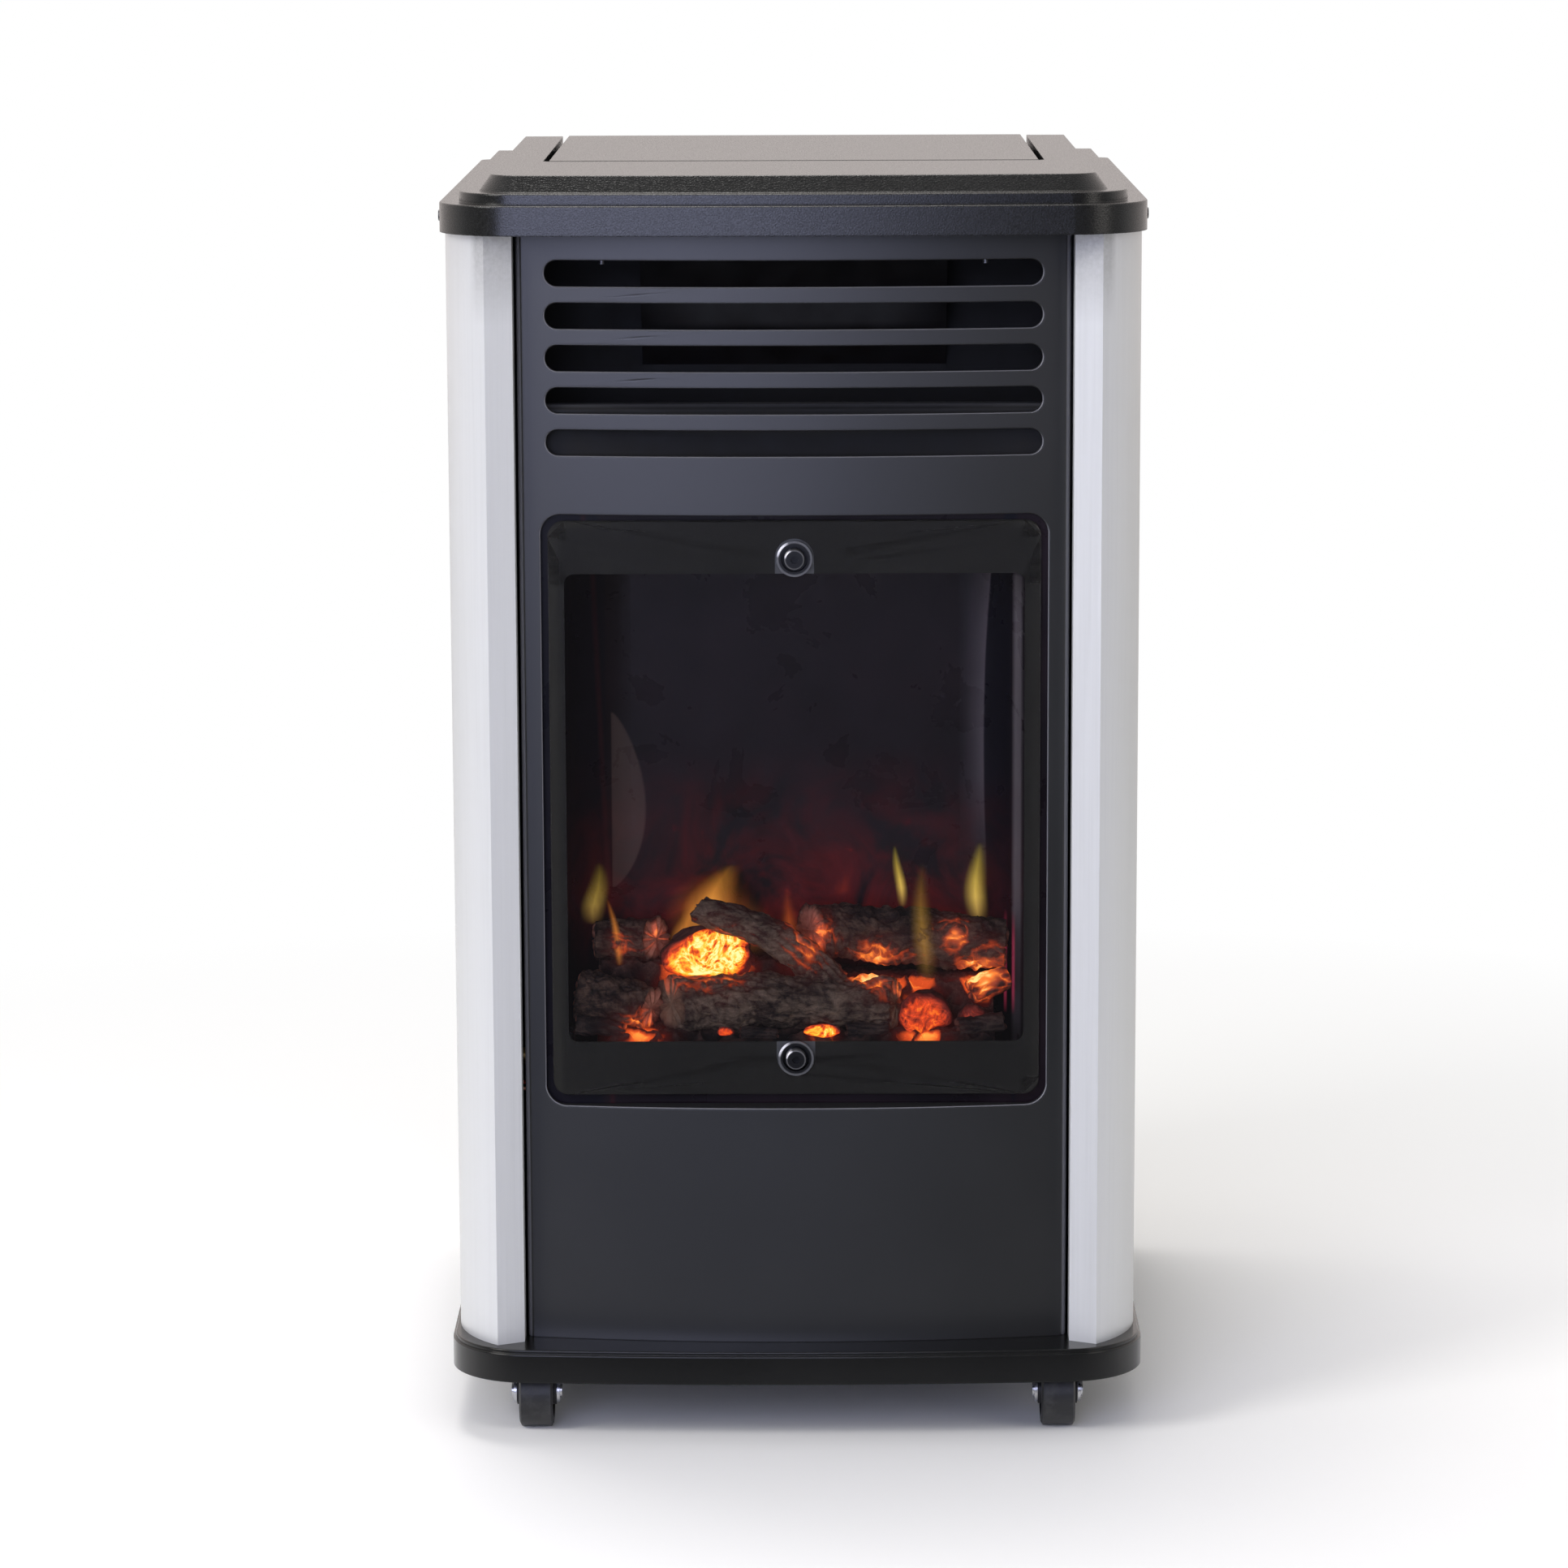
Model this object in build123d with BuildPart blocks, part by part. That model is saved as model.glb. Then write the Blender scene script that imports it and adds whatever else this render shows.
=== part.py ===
from build123d import *
import math
import os

# A portable gas cabinet heater: a steel cabinet on four casters, with a flame-effect window and hot air slots
# in front, a bay for a gas cylinder behind a rear door, and a flap over the controls in the rear of the top.
# Millimetres. X to the right, Y to the back, Z up, origin on the floor under the middle of the base.

# ---- Driving dimensions: cabinet ----
body_width = 426.0
base_depth = 486.0
floor_gap = 39.0
base_height = 20.5
body_height = 690.5
base_overhang = 3.5
rim_overhang = 2.0
rim_setback = 1.0
rim_height = 18.0
second_tier_height = 6.5
third_tier_height = 10.0
tier_inset = 12.0
tier_slope = 7.5
rear_tier_inset = 8.0
rear_tier_slope = 2.0
front_bow_radius = 2400.0
corner_radius = 50.0
rear_corner_radius = 8.0
base_lip_height = 2.5
base_lip_inset = 1.6
sheet = 1.2
pressed_sheet = 2.0
rim_wall = 1.6
soft_edge = 0.8
fit_gap = 0.3
pin_gap = 0.05
cap_screw_radius = 1.6
cap_screw_head_radius = 3.5
cap_screw_head_height = 1.2
cap_screw_reach = 7.0
cap_screw_front = 63.0
cap_screw_spacing = 360.0

# ---- Driving dimensions: side panels ----
panel_corner_radius = 78.0
ridge_half_width = 186.5
ridge_setback = 19.3
strip_half_width = 170.0
strip_setback = 27.2
strip_return = 18.0
rear_flange = 20.0
door_setback = 9.0

# ---- Driving dimensions: front panel ----
panel_half_width = 168.5
panel_setback = 24.6
panel_bow_radius = 1000.0
panel_edge_radius = 8.0
panel_return = 26.0
slot_count = 5
slot_length = 302.0
slot_height = 15.8
slot_pitch = 25.7
first_slot_drop = 24.4
slot_roll_depth = 4.0
roll_radius = 1.0
window_half_width = 155.0
window_bottom_rise = 149.7
window_top_drop = 171.2
window_corner_radius = 13.0

# ---- Driving dimensions: window ----
glass_half_width = 150.9
glass_bottom_gap = 5.7
glass_top_gap = 4.4
glass_thickness = 4.0
glass_corner_radius = 10.0
glass_depth_behind_crest = 11.9
clear_half_width = 141.0
clear_bottom_inset = 33.5
clear_top_inset = 33.0
clear_corner_radius = 6.0
mask_thickness = 0.5
seal_thickness = 2.0
seal_width = 7.0
cup_radius = 11.0
cup_hole_radius = 9.0
cup_wall = 0.8
cup_floor = 1.0
screw_head_radius = 6.2
screw_head_proud = 5.0
screw_shank_radius = 2.5
screw_reach = 6.0
screw_socket_radius = 2.5
screw_socket_depth = 2.5
upper_screw_drop = 23.4
lower_screw_rise = 23.6
pad_radius = 12.0
frame_margin = 4.0

# ---- Driving dimensions: firebox and fire ----
firebox_half_width = 146.0
firebox_depth = 94.0
firebox_corner_radius = 42.0
firebox_floor_rise = 146.0
firebox_height = 396.0
firebox_flange = 10.0
partition_gap = 9.0
partition_flange = 14.0
burner_length = 244.0
burner_width = 62.0
burner_height = 20.0
burner_foot = 12.0
burner_foot_width = 16.0
burner_foot_length = 42.0
burner_foot_span = 164.0
burner_corner = 3.6
floor_slot_length = 50.0
floor_slot_width = 6.0
floor_slot_spacing = 82.0
floor_slot_rows = 30.0
burner_wall = 1.0
port_radius = 1.8
port_rows = 3
port_columns = 20
port_pitch = 11.0
mixing_radius = 8.0
mixing_wall = 1.0
mixing_reach = 34.0
injector_radius = 5.0
injector_length = 14.0
injector_bore = 0.6
injector_bore_depth = 7.0
injector_nose = 2.5
injector_gap = 6.0
holder_half_width = 12.0
holder_from_tip = 7.0
ember_width = 80.0
ember_front_height = 10.0
ember_length = 250.0
ember_left_step = 48.8
ember_right_step = 38.2
ember_step_depth = 46.0
ember_step_x = 16.0
ember_corner_radius = 36.0
stone_radius = 12.0
small_stone_radius = 8.0
stone_x = 80.0
stand_setback = 12.0
stand_length = 70.0
stand_foot = 22.0

# ---- Driving dimensions: logs ----
front_row_setback = 22.0
rear_row_setback = 54.0
log_taper = 1.2
front_log_left = -82.0
front_log_right = 64.0
front_log_radius = 18.5
branch_root_x = 12.0
branch_tip_x = -62.0
branch_rise = 59.0
branch_lean = 12.0
branch_radius = 11.0
left_log_left = -130.0
left_log_right = -99.5
left_log_radius = 15.5
left_log_lift = 9.0
left_log_turn = 3.0
rear_left_log_left = -126.0
rear_left_log_right = -86.0
rear_left_log_radius = 14.0
right_log_left = 4.0
right_log_right = 131.0
right_log_radius = 19.0

# ---- Driving dimensions: pilot ----
pilot_wall_gap = 0.6
pilot_setback = 24.0
pilot_pitch = 8.0
pilot_height = 44.0
pilot_block = 7.0
pilot_block_rise = 26.0
hood_radius = 3.2
probe_radius = 1.8
pilot_lead_rise = 9.0

# ---- Driving dimensions: deflectors ----
lower_deflector_height = 43.5
lower_deflector_lip = 12.0
lower_deflector_bend = 4.5
deflector_tab = 14.0
guide_width = 190.0
guide_foot = 15.0
guide_low_drop = 90.0
guide_reach = 45.0
baffle_drop = 12.0
baffle_half_width = 160.0
baffle_flange = 12.0
baffle_screw_half_span = 117.0
baffle_screw_from_front = 12.0
baffle_screw_tip = 9.0
baffle_screw_radius = 1.6
baffle_screw_head_radius = 3.5
baffle_screw_head_height = 2.4

# ---- Driving dimensions: controls ----
flap_width = 309.0
flap_seam_from_centre = -62.7
flap_rear_overhang = 7.0
flap_bead_radius = 3.0
flap_seam_gap = 0.5
flap_slit = 3.5
flap_lip_gap = 0.6
hinge_pin_radius = 1.2
hinge_pin_reach = 9.0
deck_drop = 26.0
deck_length = 118.0
deck_sheet = 1.5
well_wall = 2.0
flap_plate = 2.0
flap_stiffener = 5.0
slit_corner_radius = 4.0
knob_radius = 19.0
knob_height = 16.0
knob_x = -46.0
knob_from_seam = 62.0
spindle_radius = 4.0
knob_travel = 3.0
knob_gap = 3.8
knob_taper = 2.0
knob_flutes = 16
knob_flute_radius = 1.6
knob_flute_rise = 0.8
pointer_width = 2.4
pointer_length = 12.0
pointer_setback = 2.5
pointer_height = 1.0
collar_radius = 9.0
collar_height = 3.0
valve_height = 40.0
bore_depth = 31.0
knob_socket = 2.5
knob_recess_radius = 15.0
knob_recess_depth = 10.0
outlet_radius = 6.0
outlet_length = 8.0
outlet_drop = 22.0
tap_radius = 4.0
tap_length = 6.0
tap_drop = 33.0
tap_offset = 12.0
valve_width = 46.0
valve_depth = 40.0
valve_corner = 6.0
nozzle_radius = 4.0
nozzle_length = 24.0
nozzle_collar_radius = 8.5
nozzle_collar_length = 6.0
igniter_x = 52.0
button_radius = 7.0
button_height = 9.0
button_travel = 5.0
igniter_radius = 10.0
igniter_length = 50.0
igniter_collar_radius = 12.0
igniter_collar_height = 2.0
igniter_terminal_rise = 3.0
button_depth = 18.0
spring_wall = 1.2
spring_radius = 6.5
spring_block = 4.0
feed_pipe_radius = 3.0
lead_radius = 1.2
pipe_bend = 14.0
feed_bend_share = 0.75
probe_column_step = 8.0
spark_column_step = 6.0
column_gap = 16.0

# ---- Driving dimensions: rear door ----
door_gap = 2.5
door_fold = 10.0
door_vents = 7
door_vent_length = 120.0
door_vent_height = 6.0
door_vent_pitch = 16.0
door_pin_radius = 3.0
door_pin_reach = 8.0
door_pin_inset = 6.0
door_pin_depth = 4.5
door_shoulder_radius = 5.0
bracket_sheet = 1.5
bracket_length = 36.8
bracket_depth = 10.8
latch_radius = 11.0
latch_height = 8.0
latch_inset = 12.5
latch_shaft_radius = 3.0
latch_tongue = 22.0
latch_tongue_width = 9.0
latch_grip = 6.0
latch_grip_height = 5.0
latch_tongue_gap = 1.5
latch_notch = 24.0
latch_rise = 360.0

# ---- Driving dimensions: casters ----
caster_half_track = 163.7
caster_end_inset = 65.0
caster_trail = 18.0
wheel_radius = 22.5
wheel_width = 21.0
wheel_floor_width = 18.6
wheel_shoulder_radius = 20.5
wheel_rim_radius = 17.0
wheel_web = 10.0
hub_width = 24.5
hub_radius = 9.0
axle_radius = 3.0
axle_head_radius = 5.0
axle_head_height = 1.4
fork_sheet = 1.8
fork_leg_radius = 8.0
fork_leg_gap = 0.35
fork_crown_ahead = 14.0
fork_crown_behind = 11.0
swivel_gap = 0.2
king_pin_radius = 4.0
king_head_radius = 7.0
king_head_height = 2.0
race_radius = 11.0
race_height = 1.8
caster_plate_side = 38.0
caster_plate_height = 2.0

# ---- Derived places ----
body_half = body_width / 2
inner_half = body_half - sheet
base_half = body_half + base_overhang
rim_half = body_half + rim_overhang
base_front = -base_depth / 2
base_rear = base_depth / 2
rim_front = base_front + rim_setback
rim_rear = base_rear - rim_setback
base_bottom = floor_gap
base_top = base_bottom + base_height
rim_bottom = base_top + body_height
rim_top = rim_bottom + rim_height
second_top = rim_top + second_tier_height
cap_top = second_top + third_tier_height
cap_ceiling = rim_top - pressed_sheet

ridge_y = base_front + ridge_setback
strip_y = base_front + strip_setback
corner_centre_x = body_half - panel_corner_radius
corner_centre_y = ridge_y + math.sqrt(panel_corner_radius**2 - (ridge_half_width - corner_centre_x) ** 2)
door_y = base_rear - door_setback

panel_crest = base_front + panel_setback
panel_rear = panel_crest + panel_return
panel_bottom = base_top
panel_top = rim_bottom + rim_height / 2
window_bottom = base_top + window_bottom_rise
window_height = rim_bottom - window_top_drop - window_bottom

glass_front = panel_crest + glass_depth_behind_crest
glass_back = glass_front + glass_thickness
glass_bottom = window_bottom + glass_bottom_gap
glass_height = window_height - glass_bottom_gap - glass_top_gap
glass_top = glass_bottom + glass_height
mask_back = glass_back + mask_thickness
clear_bottom = glass_bottom + clear_bottom_inset
clear_height = glass_height - clear_bottom_inset - clear_top_inset
clear_top = clear_bottom + clear_height
firebox_front = mask_back + seal_thickness
firebox_back = firebox_front + firebox_depth
firebox_bottom = base_top + firebox_floor_rise
firebox_top = firebox_bottom + firebox_height
partition_y = firebox_back + partition_gap
upper_screw_z = glass_top - upper_screw_drop
lower_screw_z = glass_bottom + lower_screw_rise

os.makedirs("parts", exist_ok=True)


def save(piece, name):
    """Labels a finished piece and writes it under its own name."""
    piece.part.label = name
    export_step(piece.part, f"parts/{name}.step")


def plan_outline(half_width, front, rear, front_corner, rear_corner, bow=front_bow_radius):
    """A plan with a bowed front edge, round front corners and small rear corners."""
    with BuildSketch() as outline:
        with Locations((0, (front + rear) / 2)):
            Rectangle(2 * half_width, rear - front)
        with Locations((0, front + bow)):
            Circle(bow, mode=Mode.INTERSECT)
        fillet(outline.vertices().group_by(Axis.Y)[0], front_corner)
        if rear_corner > 0:
            fillet(outline.vertices().group_by(Axis.Y)[-1], rear_corner)
    return outline.sketch


def base_outline(inset):
    """The base's plan, drawn in by the same distance all round."""
    return plan_outline(
        base_half - inset,
        base_front + inset,
        base_rear - inset,
        corner_radius - inset,
        rear_corner_radius - inset,
        front_bow_radius - inset,
    )


def rim_outline(inset, rear_inset):
    """The top cap's plan, drawn in by one distance at the front and sides and another at the rear."""
    return plan_outline(
        rim_half - inset,
        rim_front + inset,
        rim_rear - rear_inset,
        corner_radius - inset,
        rear_corner_radius - min(inset, rear_corner_radius - 2 * soft_edge),
        front_bow_radius - inset,
    )


# ---- Base tray: a skirted pan with a raised lip round its deck ----
with BuildPart() as base_tray:
    with BuildSketch(Plane.XY.offset(base_bottom)):
        add(base_outline(0))
    extrude(amount=base_height - base_lip_height)
    fillet(base_tray.edges().group_by(Axis.Z)[-1], soft_edge)
    with BuildSketch(Plane.XY.offset(base_top - base_lip_height)):
        add(base_outline(base_lip_inset))
    extrude(amount=base_lip_height)
    fillet(base_tray.edges().group_by(Axis.Z)[-1], soft_edge)
    with BuildSketch(Plane.XY.offset(base_bottom)):
        add(base_outline(pressed_sheet + base_lip_inset))
    extrude(amount=base_height - pressed_sheet, mode=Mode.SUBTRACT)
save(base_tray, "base_tray")


# ---- Side panels: bent sheets that wrap round the front corners ----
def side_panel_section(side):
    """The plan of one side panel: front return, strip, ridge, round corner, side and rear flange."""
    corner_start = math.degrees(
        math.atan2(ridge_y - corner_centre_y, ridge_half_width - corner_centre_x)
    )
    with BuildSketch() as section:
        with BuildLine() as path:
            Polyline(
                (strip_half_width, strip_y + strip_return),
                (strip_half_width, strip_y),
                (ridge_half_width, ridge_y),
            )
            CenterArc((corner_centre_x, corner_centre_y), panel_corner_radius, corner_start, -corner_start)
            Polyline(
                (body_half, corner_centre_y),
                (body_half, door_y),
                (body_half - rear_flange, door_y),
            )
            offset(amount=sheet, side=Side.LEFT, kind=Kind.INTERSECTION)
        make_face()
        if side < 0:
            mirror(about=Plane.YZ, mode=Mode.REPLACE)
    return section.sketch


def side_view(x):
    """A sketch plane seen from the right: its own X runs to the back and its own Y runs up."""
    return Plane(origin=(x, 0, 0), x_dir=(0, 1, 0), z_dir=(1, 0, 0))


cap_screw_z = rim_bottom + rim_height / 2
cap_screw_places = [(rim_front + cap_screw_front + along, cap_screw_z) for along in (0, cap_screw_spacing)]

for side, name in ((-1, "side_panel_left"), (1, "side_panel_right")):
    with BuildPart() as side_panel:
        with BuildSketch(Plane.XY.offset(base_top)):
            add(side_panel_section(side))
        extrude(amount=cap_ceiling - base_top)
        with BuildSketch(side_view(side * rim_half)):
            with Locations(*cap_screw_places):
                Circle(cap_screw_radius + pin_gap)
        extrude(amount=-side * cap_screw_reach, mode=Mode.SUBTRACT)
    save(side_panel, name)


# ---- Front panel: a bowed sheet with rolled slots and a window opening ----
def panel_section(inset, rear):
    """The bowed panel's plan, drawn in by a distance and open to a given rear plane."""
    return plan_outline(
        panel_half_width - inset,
        panel_crest + inset,
        rear,
        panel_edge_radius - inset,
        0,
        panel_bow_radius - inset,
    )


def slot_places():
    """Centres of the hot air slots in the front view."""
    first = rim_bottom - first_slot_drop
    return [(0, first - row * slot_pitch) for row in range(slot_count)]


def front_view(y):
    """A sketch plane seen from the front, at a depth."""
    return Plane(origin=(0, y, 0), x_dir=(1, 0, 0), z_dir=(0, -1, 0))


def framed_rectangle(half_width, bottom, height, corner, grow=0.0):
    """An upright rounded rectangle on the centre line, grown by the same distance all round."""
    with Locations((0, bottom + height / 2)):
        RectangleRounded(2 * (half_width + grow), height + 2 * grow, corner + grow)


panel_height = panel_top - panel_bottom
with BuildPart() as panel_rolls:
    with BuildSketch(front_view(panel_rear)):
        with Locations(*slot_places()):
            SlotOverall(slot_length + 2 * sheet, slot_height + 2 * sheet)
    extrude(amount=panel_return + sheet)
    with BuildSketch(Plane.XY.offset(panel_bottom)):
        add(panel_section(0, panel_rear))
    extrude(amount=panel_height, mode=Mode.INTERSECT)
    with BuildSketch(Plane.XY.offset(panel_bottom)):
        add(panel_section(slot_roll_depth, panel_rear))
    extrude(amount=panel_height, mode=Mode.SUBTRACT)

with BuildPart() as window_roll:
    with BuildSketch(front_view(glass_back)):
        framed_rectangle(window_half_width, window_bottom, window_height, window_corner_radius, sheet)
    extrude(amount=glass_thickness + glass_depth_behind_crest + sheet)
    with BuildSketch(Plane.XY.offset(panel_bottom)):
        add(panel_section(0, panel_rear))
    extrude(amount=panel_height, mode=Mode.INTERSECT)


def on_panel_face(edge):
    """True for an edge that lies on the bowed outer face, away from its own outline."""
    middle = edge.position_at(0.5)
    reach = math.hypot(middle.X, middle.Y - panel_crest - panel_bow_radius)
    inside = panel_bottom + sheet < middle.Z < panel_top - sheet and abs(middle.X) < window_half_width + sheet
    return abs(reach - panel_bow_radius) < 0.01 and inside


with BuildPart() as front_panel:
    with BuildSketch(Plane.XY.offset(panel_bottom)):
        add(panel_section(0, panel_rear))
    extrude(amount=panel_height)
    with BuildSketch(Plane.XY.offset(panel_bottom)):
        add(panel_section(sheet, panel_rear + sheet))
    extrude(amount=panel_height - sheet, mode=Mode.SUBTRACT)
    add(panel_rolls.part)
    add(window_roll.part)
    with BuildSketch(front_view(panel_rear)):
        with Locations(*slot_places()):
            SlotOverall(slot_length, slot_height)
        framed_rectangle(window_half_width, window_bottom, window_height, window_corner_radius)
    extrude(amount=panel_return + sheet, mode=Mode.SUBTRACT)
    fillet(front_panel.edges().filter_by(on_panel_face), roll_radius)
save(front_panel, "front_panel")


# ---- Window: flat glass with a printed border, held by two screws in cup washers ----
screw_places = [(0, upper_screw_z), (0, lower_screw_z)]


def pad_outline(height, edge, shrink=0.0):
    """A D-shaped pad round a screw, its flat side on the edge of the clear area."""
    clear_side = math.copysign(1, edge - height)
    radius = pad_radius - shrink
    with BuildSketch() as pad:
        with Locations((0, height)):
            Circle(radius)
        with Locations((0, (height + edge) / 2)):
            Rectangle(2 * radius, abs(edge - height))
        with Locations((0, edge + clear_side * pad_radius)):
            Rectangle(4 * pad_radius, 2 * pad_radius, mode=Mode.SUBTRACT)
    return pad.sketch


pad_edges = [(upper_screw_z, clear_top), (lower_screw_z, clear_bottom)]

with BuildPart() as window_glass:
    with BuildSketch(front_view(glass_back)):
        framed_rectangle(glass_half_width, glass_bottom, glass_height, glass_corner_radius)
        with Locations(*screw_places):
            Circle(cup_hole_radius, mode=Mode.SUBTRACT)
    extrude(amount=glass_thickness)
    front_face = window_glass.faces().sort_by(Axis.Y)[0]
    chamfer(front_face.outer_wire().edges(), soft_edge)
save(window_glass, "window_glass")

with BuildPart() as window_border:
    with BuildSketch(front_view(mask_back)):
        framed_rectangle(glass_half_width, glass_bottom, glass_height, glass_corner_radius)
        with Locations((0, clear_bottom + clear_height / 2)):
            RectangleRounded(2 * clear_half_width, clear_height, clear_corner_radius, mode=Mode.SUBTRACT)
        for height, edge in pad_edges:
            add(pad_outline(height, edge), mode=Mode.SUBTRACT)
    extrude(amount=mask_thickness)
save(window_border, "window_border")

with BuildPart() as screw_pads:
    with BuildSketch(front_view(mask_back)):
        for height, edge in pad_edges:
            add(pad_outline(height, edge, pin_gap))
        with Locations(*screw_places):
            Circle(cup_hole_radius, mode=Mode.SUBTRACT)
    extrude(amount=mask_thickness)
save(screw_pads, "screw_pads")

with BuildPart() as window_seal:
    with BuildSketch(front_view(firebox_front)):
        framed_rectangle(glass_half_width, glass_bottom, glass_height, glass_corner_radius, -fit_gap)
        with Locations((0, glass_bottom + glass_height / 2)):
            RectangleRounded(
                2 * (glass_half_width - seal_width),
                glass_height - 2 * seal_width,
                glass_corner_radius - seal_width,
                mode=Mode.SUBTRACT,
            )
    extrude(amount=seal_thickness)
save(window_seal, "window_seal")

cup_outer = cup_hole_radius - pin_gap
shank_hole = screw_shank_radius + pin_gap
head_front = glass_front - screw_head_proud
with BuildPart() as window_cups:
    for x, height in screw_places:
        with BuildSketch(Plane.XY.offset(height)):
            with BuildLine():
                Polyline(
                    (shank_hole, firebox_front - cup_floor),
                    (shank_hole, firebox_front),
                    (cup_outer, firebox_front),
                    (cup_outer, glass_front),
                    (cup_radius, glass_front),
                    (cup_radius, glass_front - cup_wall),
                    (cup_outer - cup_wall, glass_front - cup_wall),
                    (cup_outer - cup_wall, firebox_front - cup_floor),
                    close=True,
                )
            make_face()
        revolve(axis=Axis((x, 0, height), (0, 1, 0)))
save(window_cups, "window_cups")

with BuildPart() as window_screws:
    with BuildSketch(front_view(firebox_front - cup_floor)):
        with Locations(*screw_places):
            Circle(screw_head_radius)
    extrude(amount=firebox_front - cup_floor - head_front)
    fillet(window_screws.edges().group_by(Axis.Y)[0], soft_edge)
    with BuildSketch(front_view(firebox_front + screw_reach)):
        with Locations(*screw_places):
            Circle(screw_shank_radius)
    extrude(amount=screw_reach + cup_floor)
    with BuildSketch(front_view(head_front)):
        with Locations(*screw_places):
            RegularPolygon(screw_socket_radius, 6)
    extrude(amount=-screw_socket_depth, mode=Mode.SUBTRACT)
save(window_screws, "window_screws")


# ---- Firebox: a bent shell with a front frame, and a floor that carries the burner ----
burner_y = (firebox_front + firebox_back) / 2
floor_top = firebox_bottom + sheet
burner_bottom = floor_top + burner_foot
burner_top = burner_bottom + burner_height
mixing_z = burner_bottom + burner_height / 2
pilot_x = -firebox_half_width + sheet + pilot_wall_gap + pilot_block / 2
pilot_y = firebox_front + pilot_setback
pilot_lead_z = firebox_bottom + pilot_lead_rise
probe_places = [(pilot_x, pilot_y - pilot_pitch), (pilot_x, pilot_y + pilot_pitch)]


def firebox_plan(inset, front, corner):
    """The firebox's plan: straight sides and round rear corners."""
    rear = firebox_back - inset
    with BuildSketch() as plan:
        with Locations((0, (front + rear) / 2)):
            Rectangle(2 * (firebox_half_width - inset), rear - front)
        fillet(plan.vertices().group_by(Axis.Y)[-1], corner)
    return plan.sketch


opening_height = clear_height + 2 * frame_margin
with BuildPart() as firebox_shell:
    with BuildSketch(Plane.XY.offset(firebox_bottom)):
        add(firebox_plan(0, firebox_front, firebox_corner_radius))
    extrude(amount=firebox_height)
    with BuildSketch(Plane.XY.offset(firebox_bottom)):
        add(firebox_plan(sheet, firebox_front - sheet, firebox_corner_radius - sheet))
    extrude(amount=firebox_height, mode=Mode.SUBTRACT)
    with BuildSketch(front_view(firebox_front + sheet)):
        with Locations((0, firebox_bottom + firebox_height / 2)):
            Rectangle(2 * (firebox_half_width + firebox_flange), firebox_height)
        with Locations((0, clear_bottom + clear_height / 2)):
            Rectangle(2 * (firebox_half_width - sheet), opening_height, mode=Mode.SUBTRACT)
        with Locations(*screw_places):
            Circle(shank_hole, mode=Mode.SUBTRACT)
    extrude(amount=sheet)
    with BuildSketch(side_view(-firebox_half_width - sheet)):
        with Locations((burner_y, mixing_z)):
            Circle(mixing_radius + fit_gap)
        with Locations(*[(y, pilot_lead_z) for x, y in probe_places]):
            Circle(lead_radius + fit_gap)
    extrude(amount=3 * sheet, mode=Mode.SUBTRACT)
save(firebox_shell, "firebox_shell")

with BuildPart() as firebox_floor:
    with BuildSketch(Plane.XY.offset(firebox_bottom)):
        add(firebox_plan(sheet, firebox_front + sheet, firebox_corner_radius))
        with Locations((0, burner_y)):
            with GridLocations(floor_slot_spacing, floor_slot_rows, 3, 2):
                SlotOverall(floor_slot_length, floor_slot_width, mode=Mode.SUBTRACT)
    extrude(amount=sheet)
save(firebox_floor, "firebox_floor")

with BuildPart() as firebox_stand:
    with BuildSketch(Plane.XY.offset(base_top)):
        for side in (-1, 1):
            with Locations((side * (firebox_half_width - stand_setback), burner_y)):
                Rectangle(sheet, stand_length)
    extrude(amount=firebox_bottom - base_top)
    with BuildSketch(Plane.XY.offset(base_top)):
        for side in (-1, 1):
            with Locations((side * (firebox_half_width - stand_setback - stand_foot / 2), burner_y)):
                Rectangle(stand_foot, stand_length)
    extrude(amount=sheet)
    with BuildSketch(Plane.XY.offset(firebox_bottom - sheet)):
        for side in (-1, 1):
            with Locations((side * (firebox_half_width - stand_setback - stand_foot / 2), burner_y)):
                Rectangle(stand_foot, stand_length)
    extrude(amount=sheet)
save(firebox_stand, "firebox_stand")

# ---- Partition: the sheet that keeps the cylinder bay apart from the fire ----
column_y = partition_y + sheet + column_gap
mixing_end = -burner_length / 2 - mixing_reach
injector_tip = mixing_end - injector_gap
injector_end = injector_tip - injector_length
pipe_column_x = (injector_end - inner_half) / 2
probe_column_x = pipe_column_x + probe_column_step
spark_column_x = probe_column_x + spark_column_step
with BuildPart() as partition:
    with BuildSketch(Plane.XY.offset(base_top)):
        with Locations((0, partition_y + sheet / 2)):
            Rectangle(2 * inner_half, sheet)
        for side in (-1, 1):
            with Locations((side * (inner_half - sheet / 2), partition_y + partition_flange / 2)):
                Rectangle(sheet, partition_flange)
    extrude(amount=rim_bottom - base_top)
    with BuildSketch(front_view(partition_y + 2 * sheet)):
        with Locations((pipe_column_x, mixing_z)):
            Circle(feed_pipe_radius + fit_gap)
        with Locations((probe_column_x, pilot_lead_z), (spark_column_x, pilot_lead_z)):
            Circle(lead_radius + fit_gap)
    extrude(amount=3 * sheet, mode=Mode.SUBTRACT)
save(partition, "partition")

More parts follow.
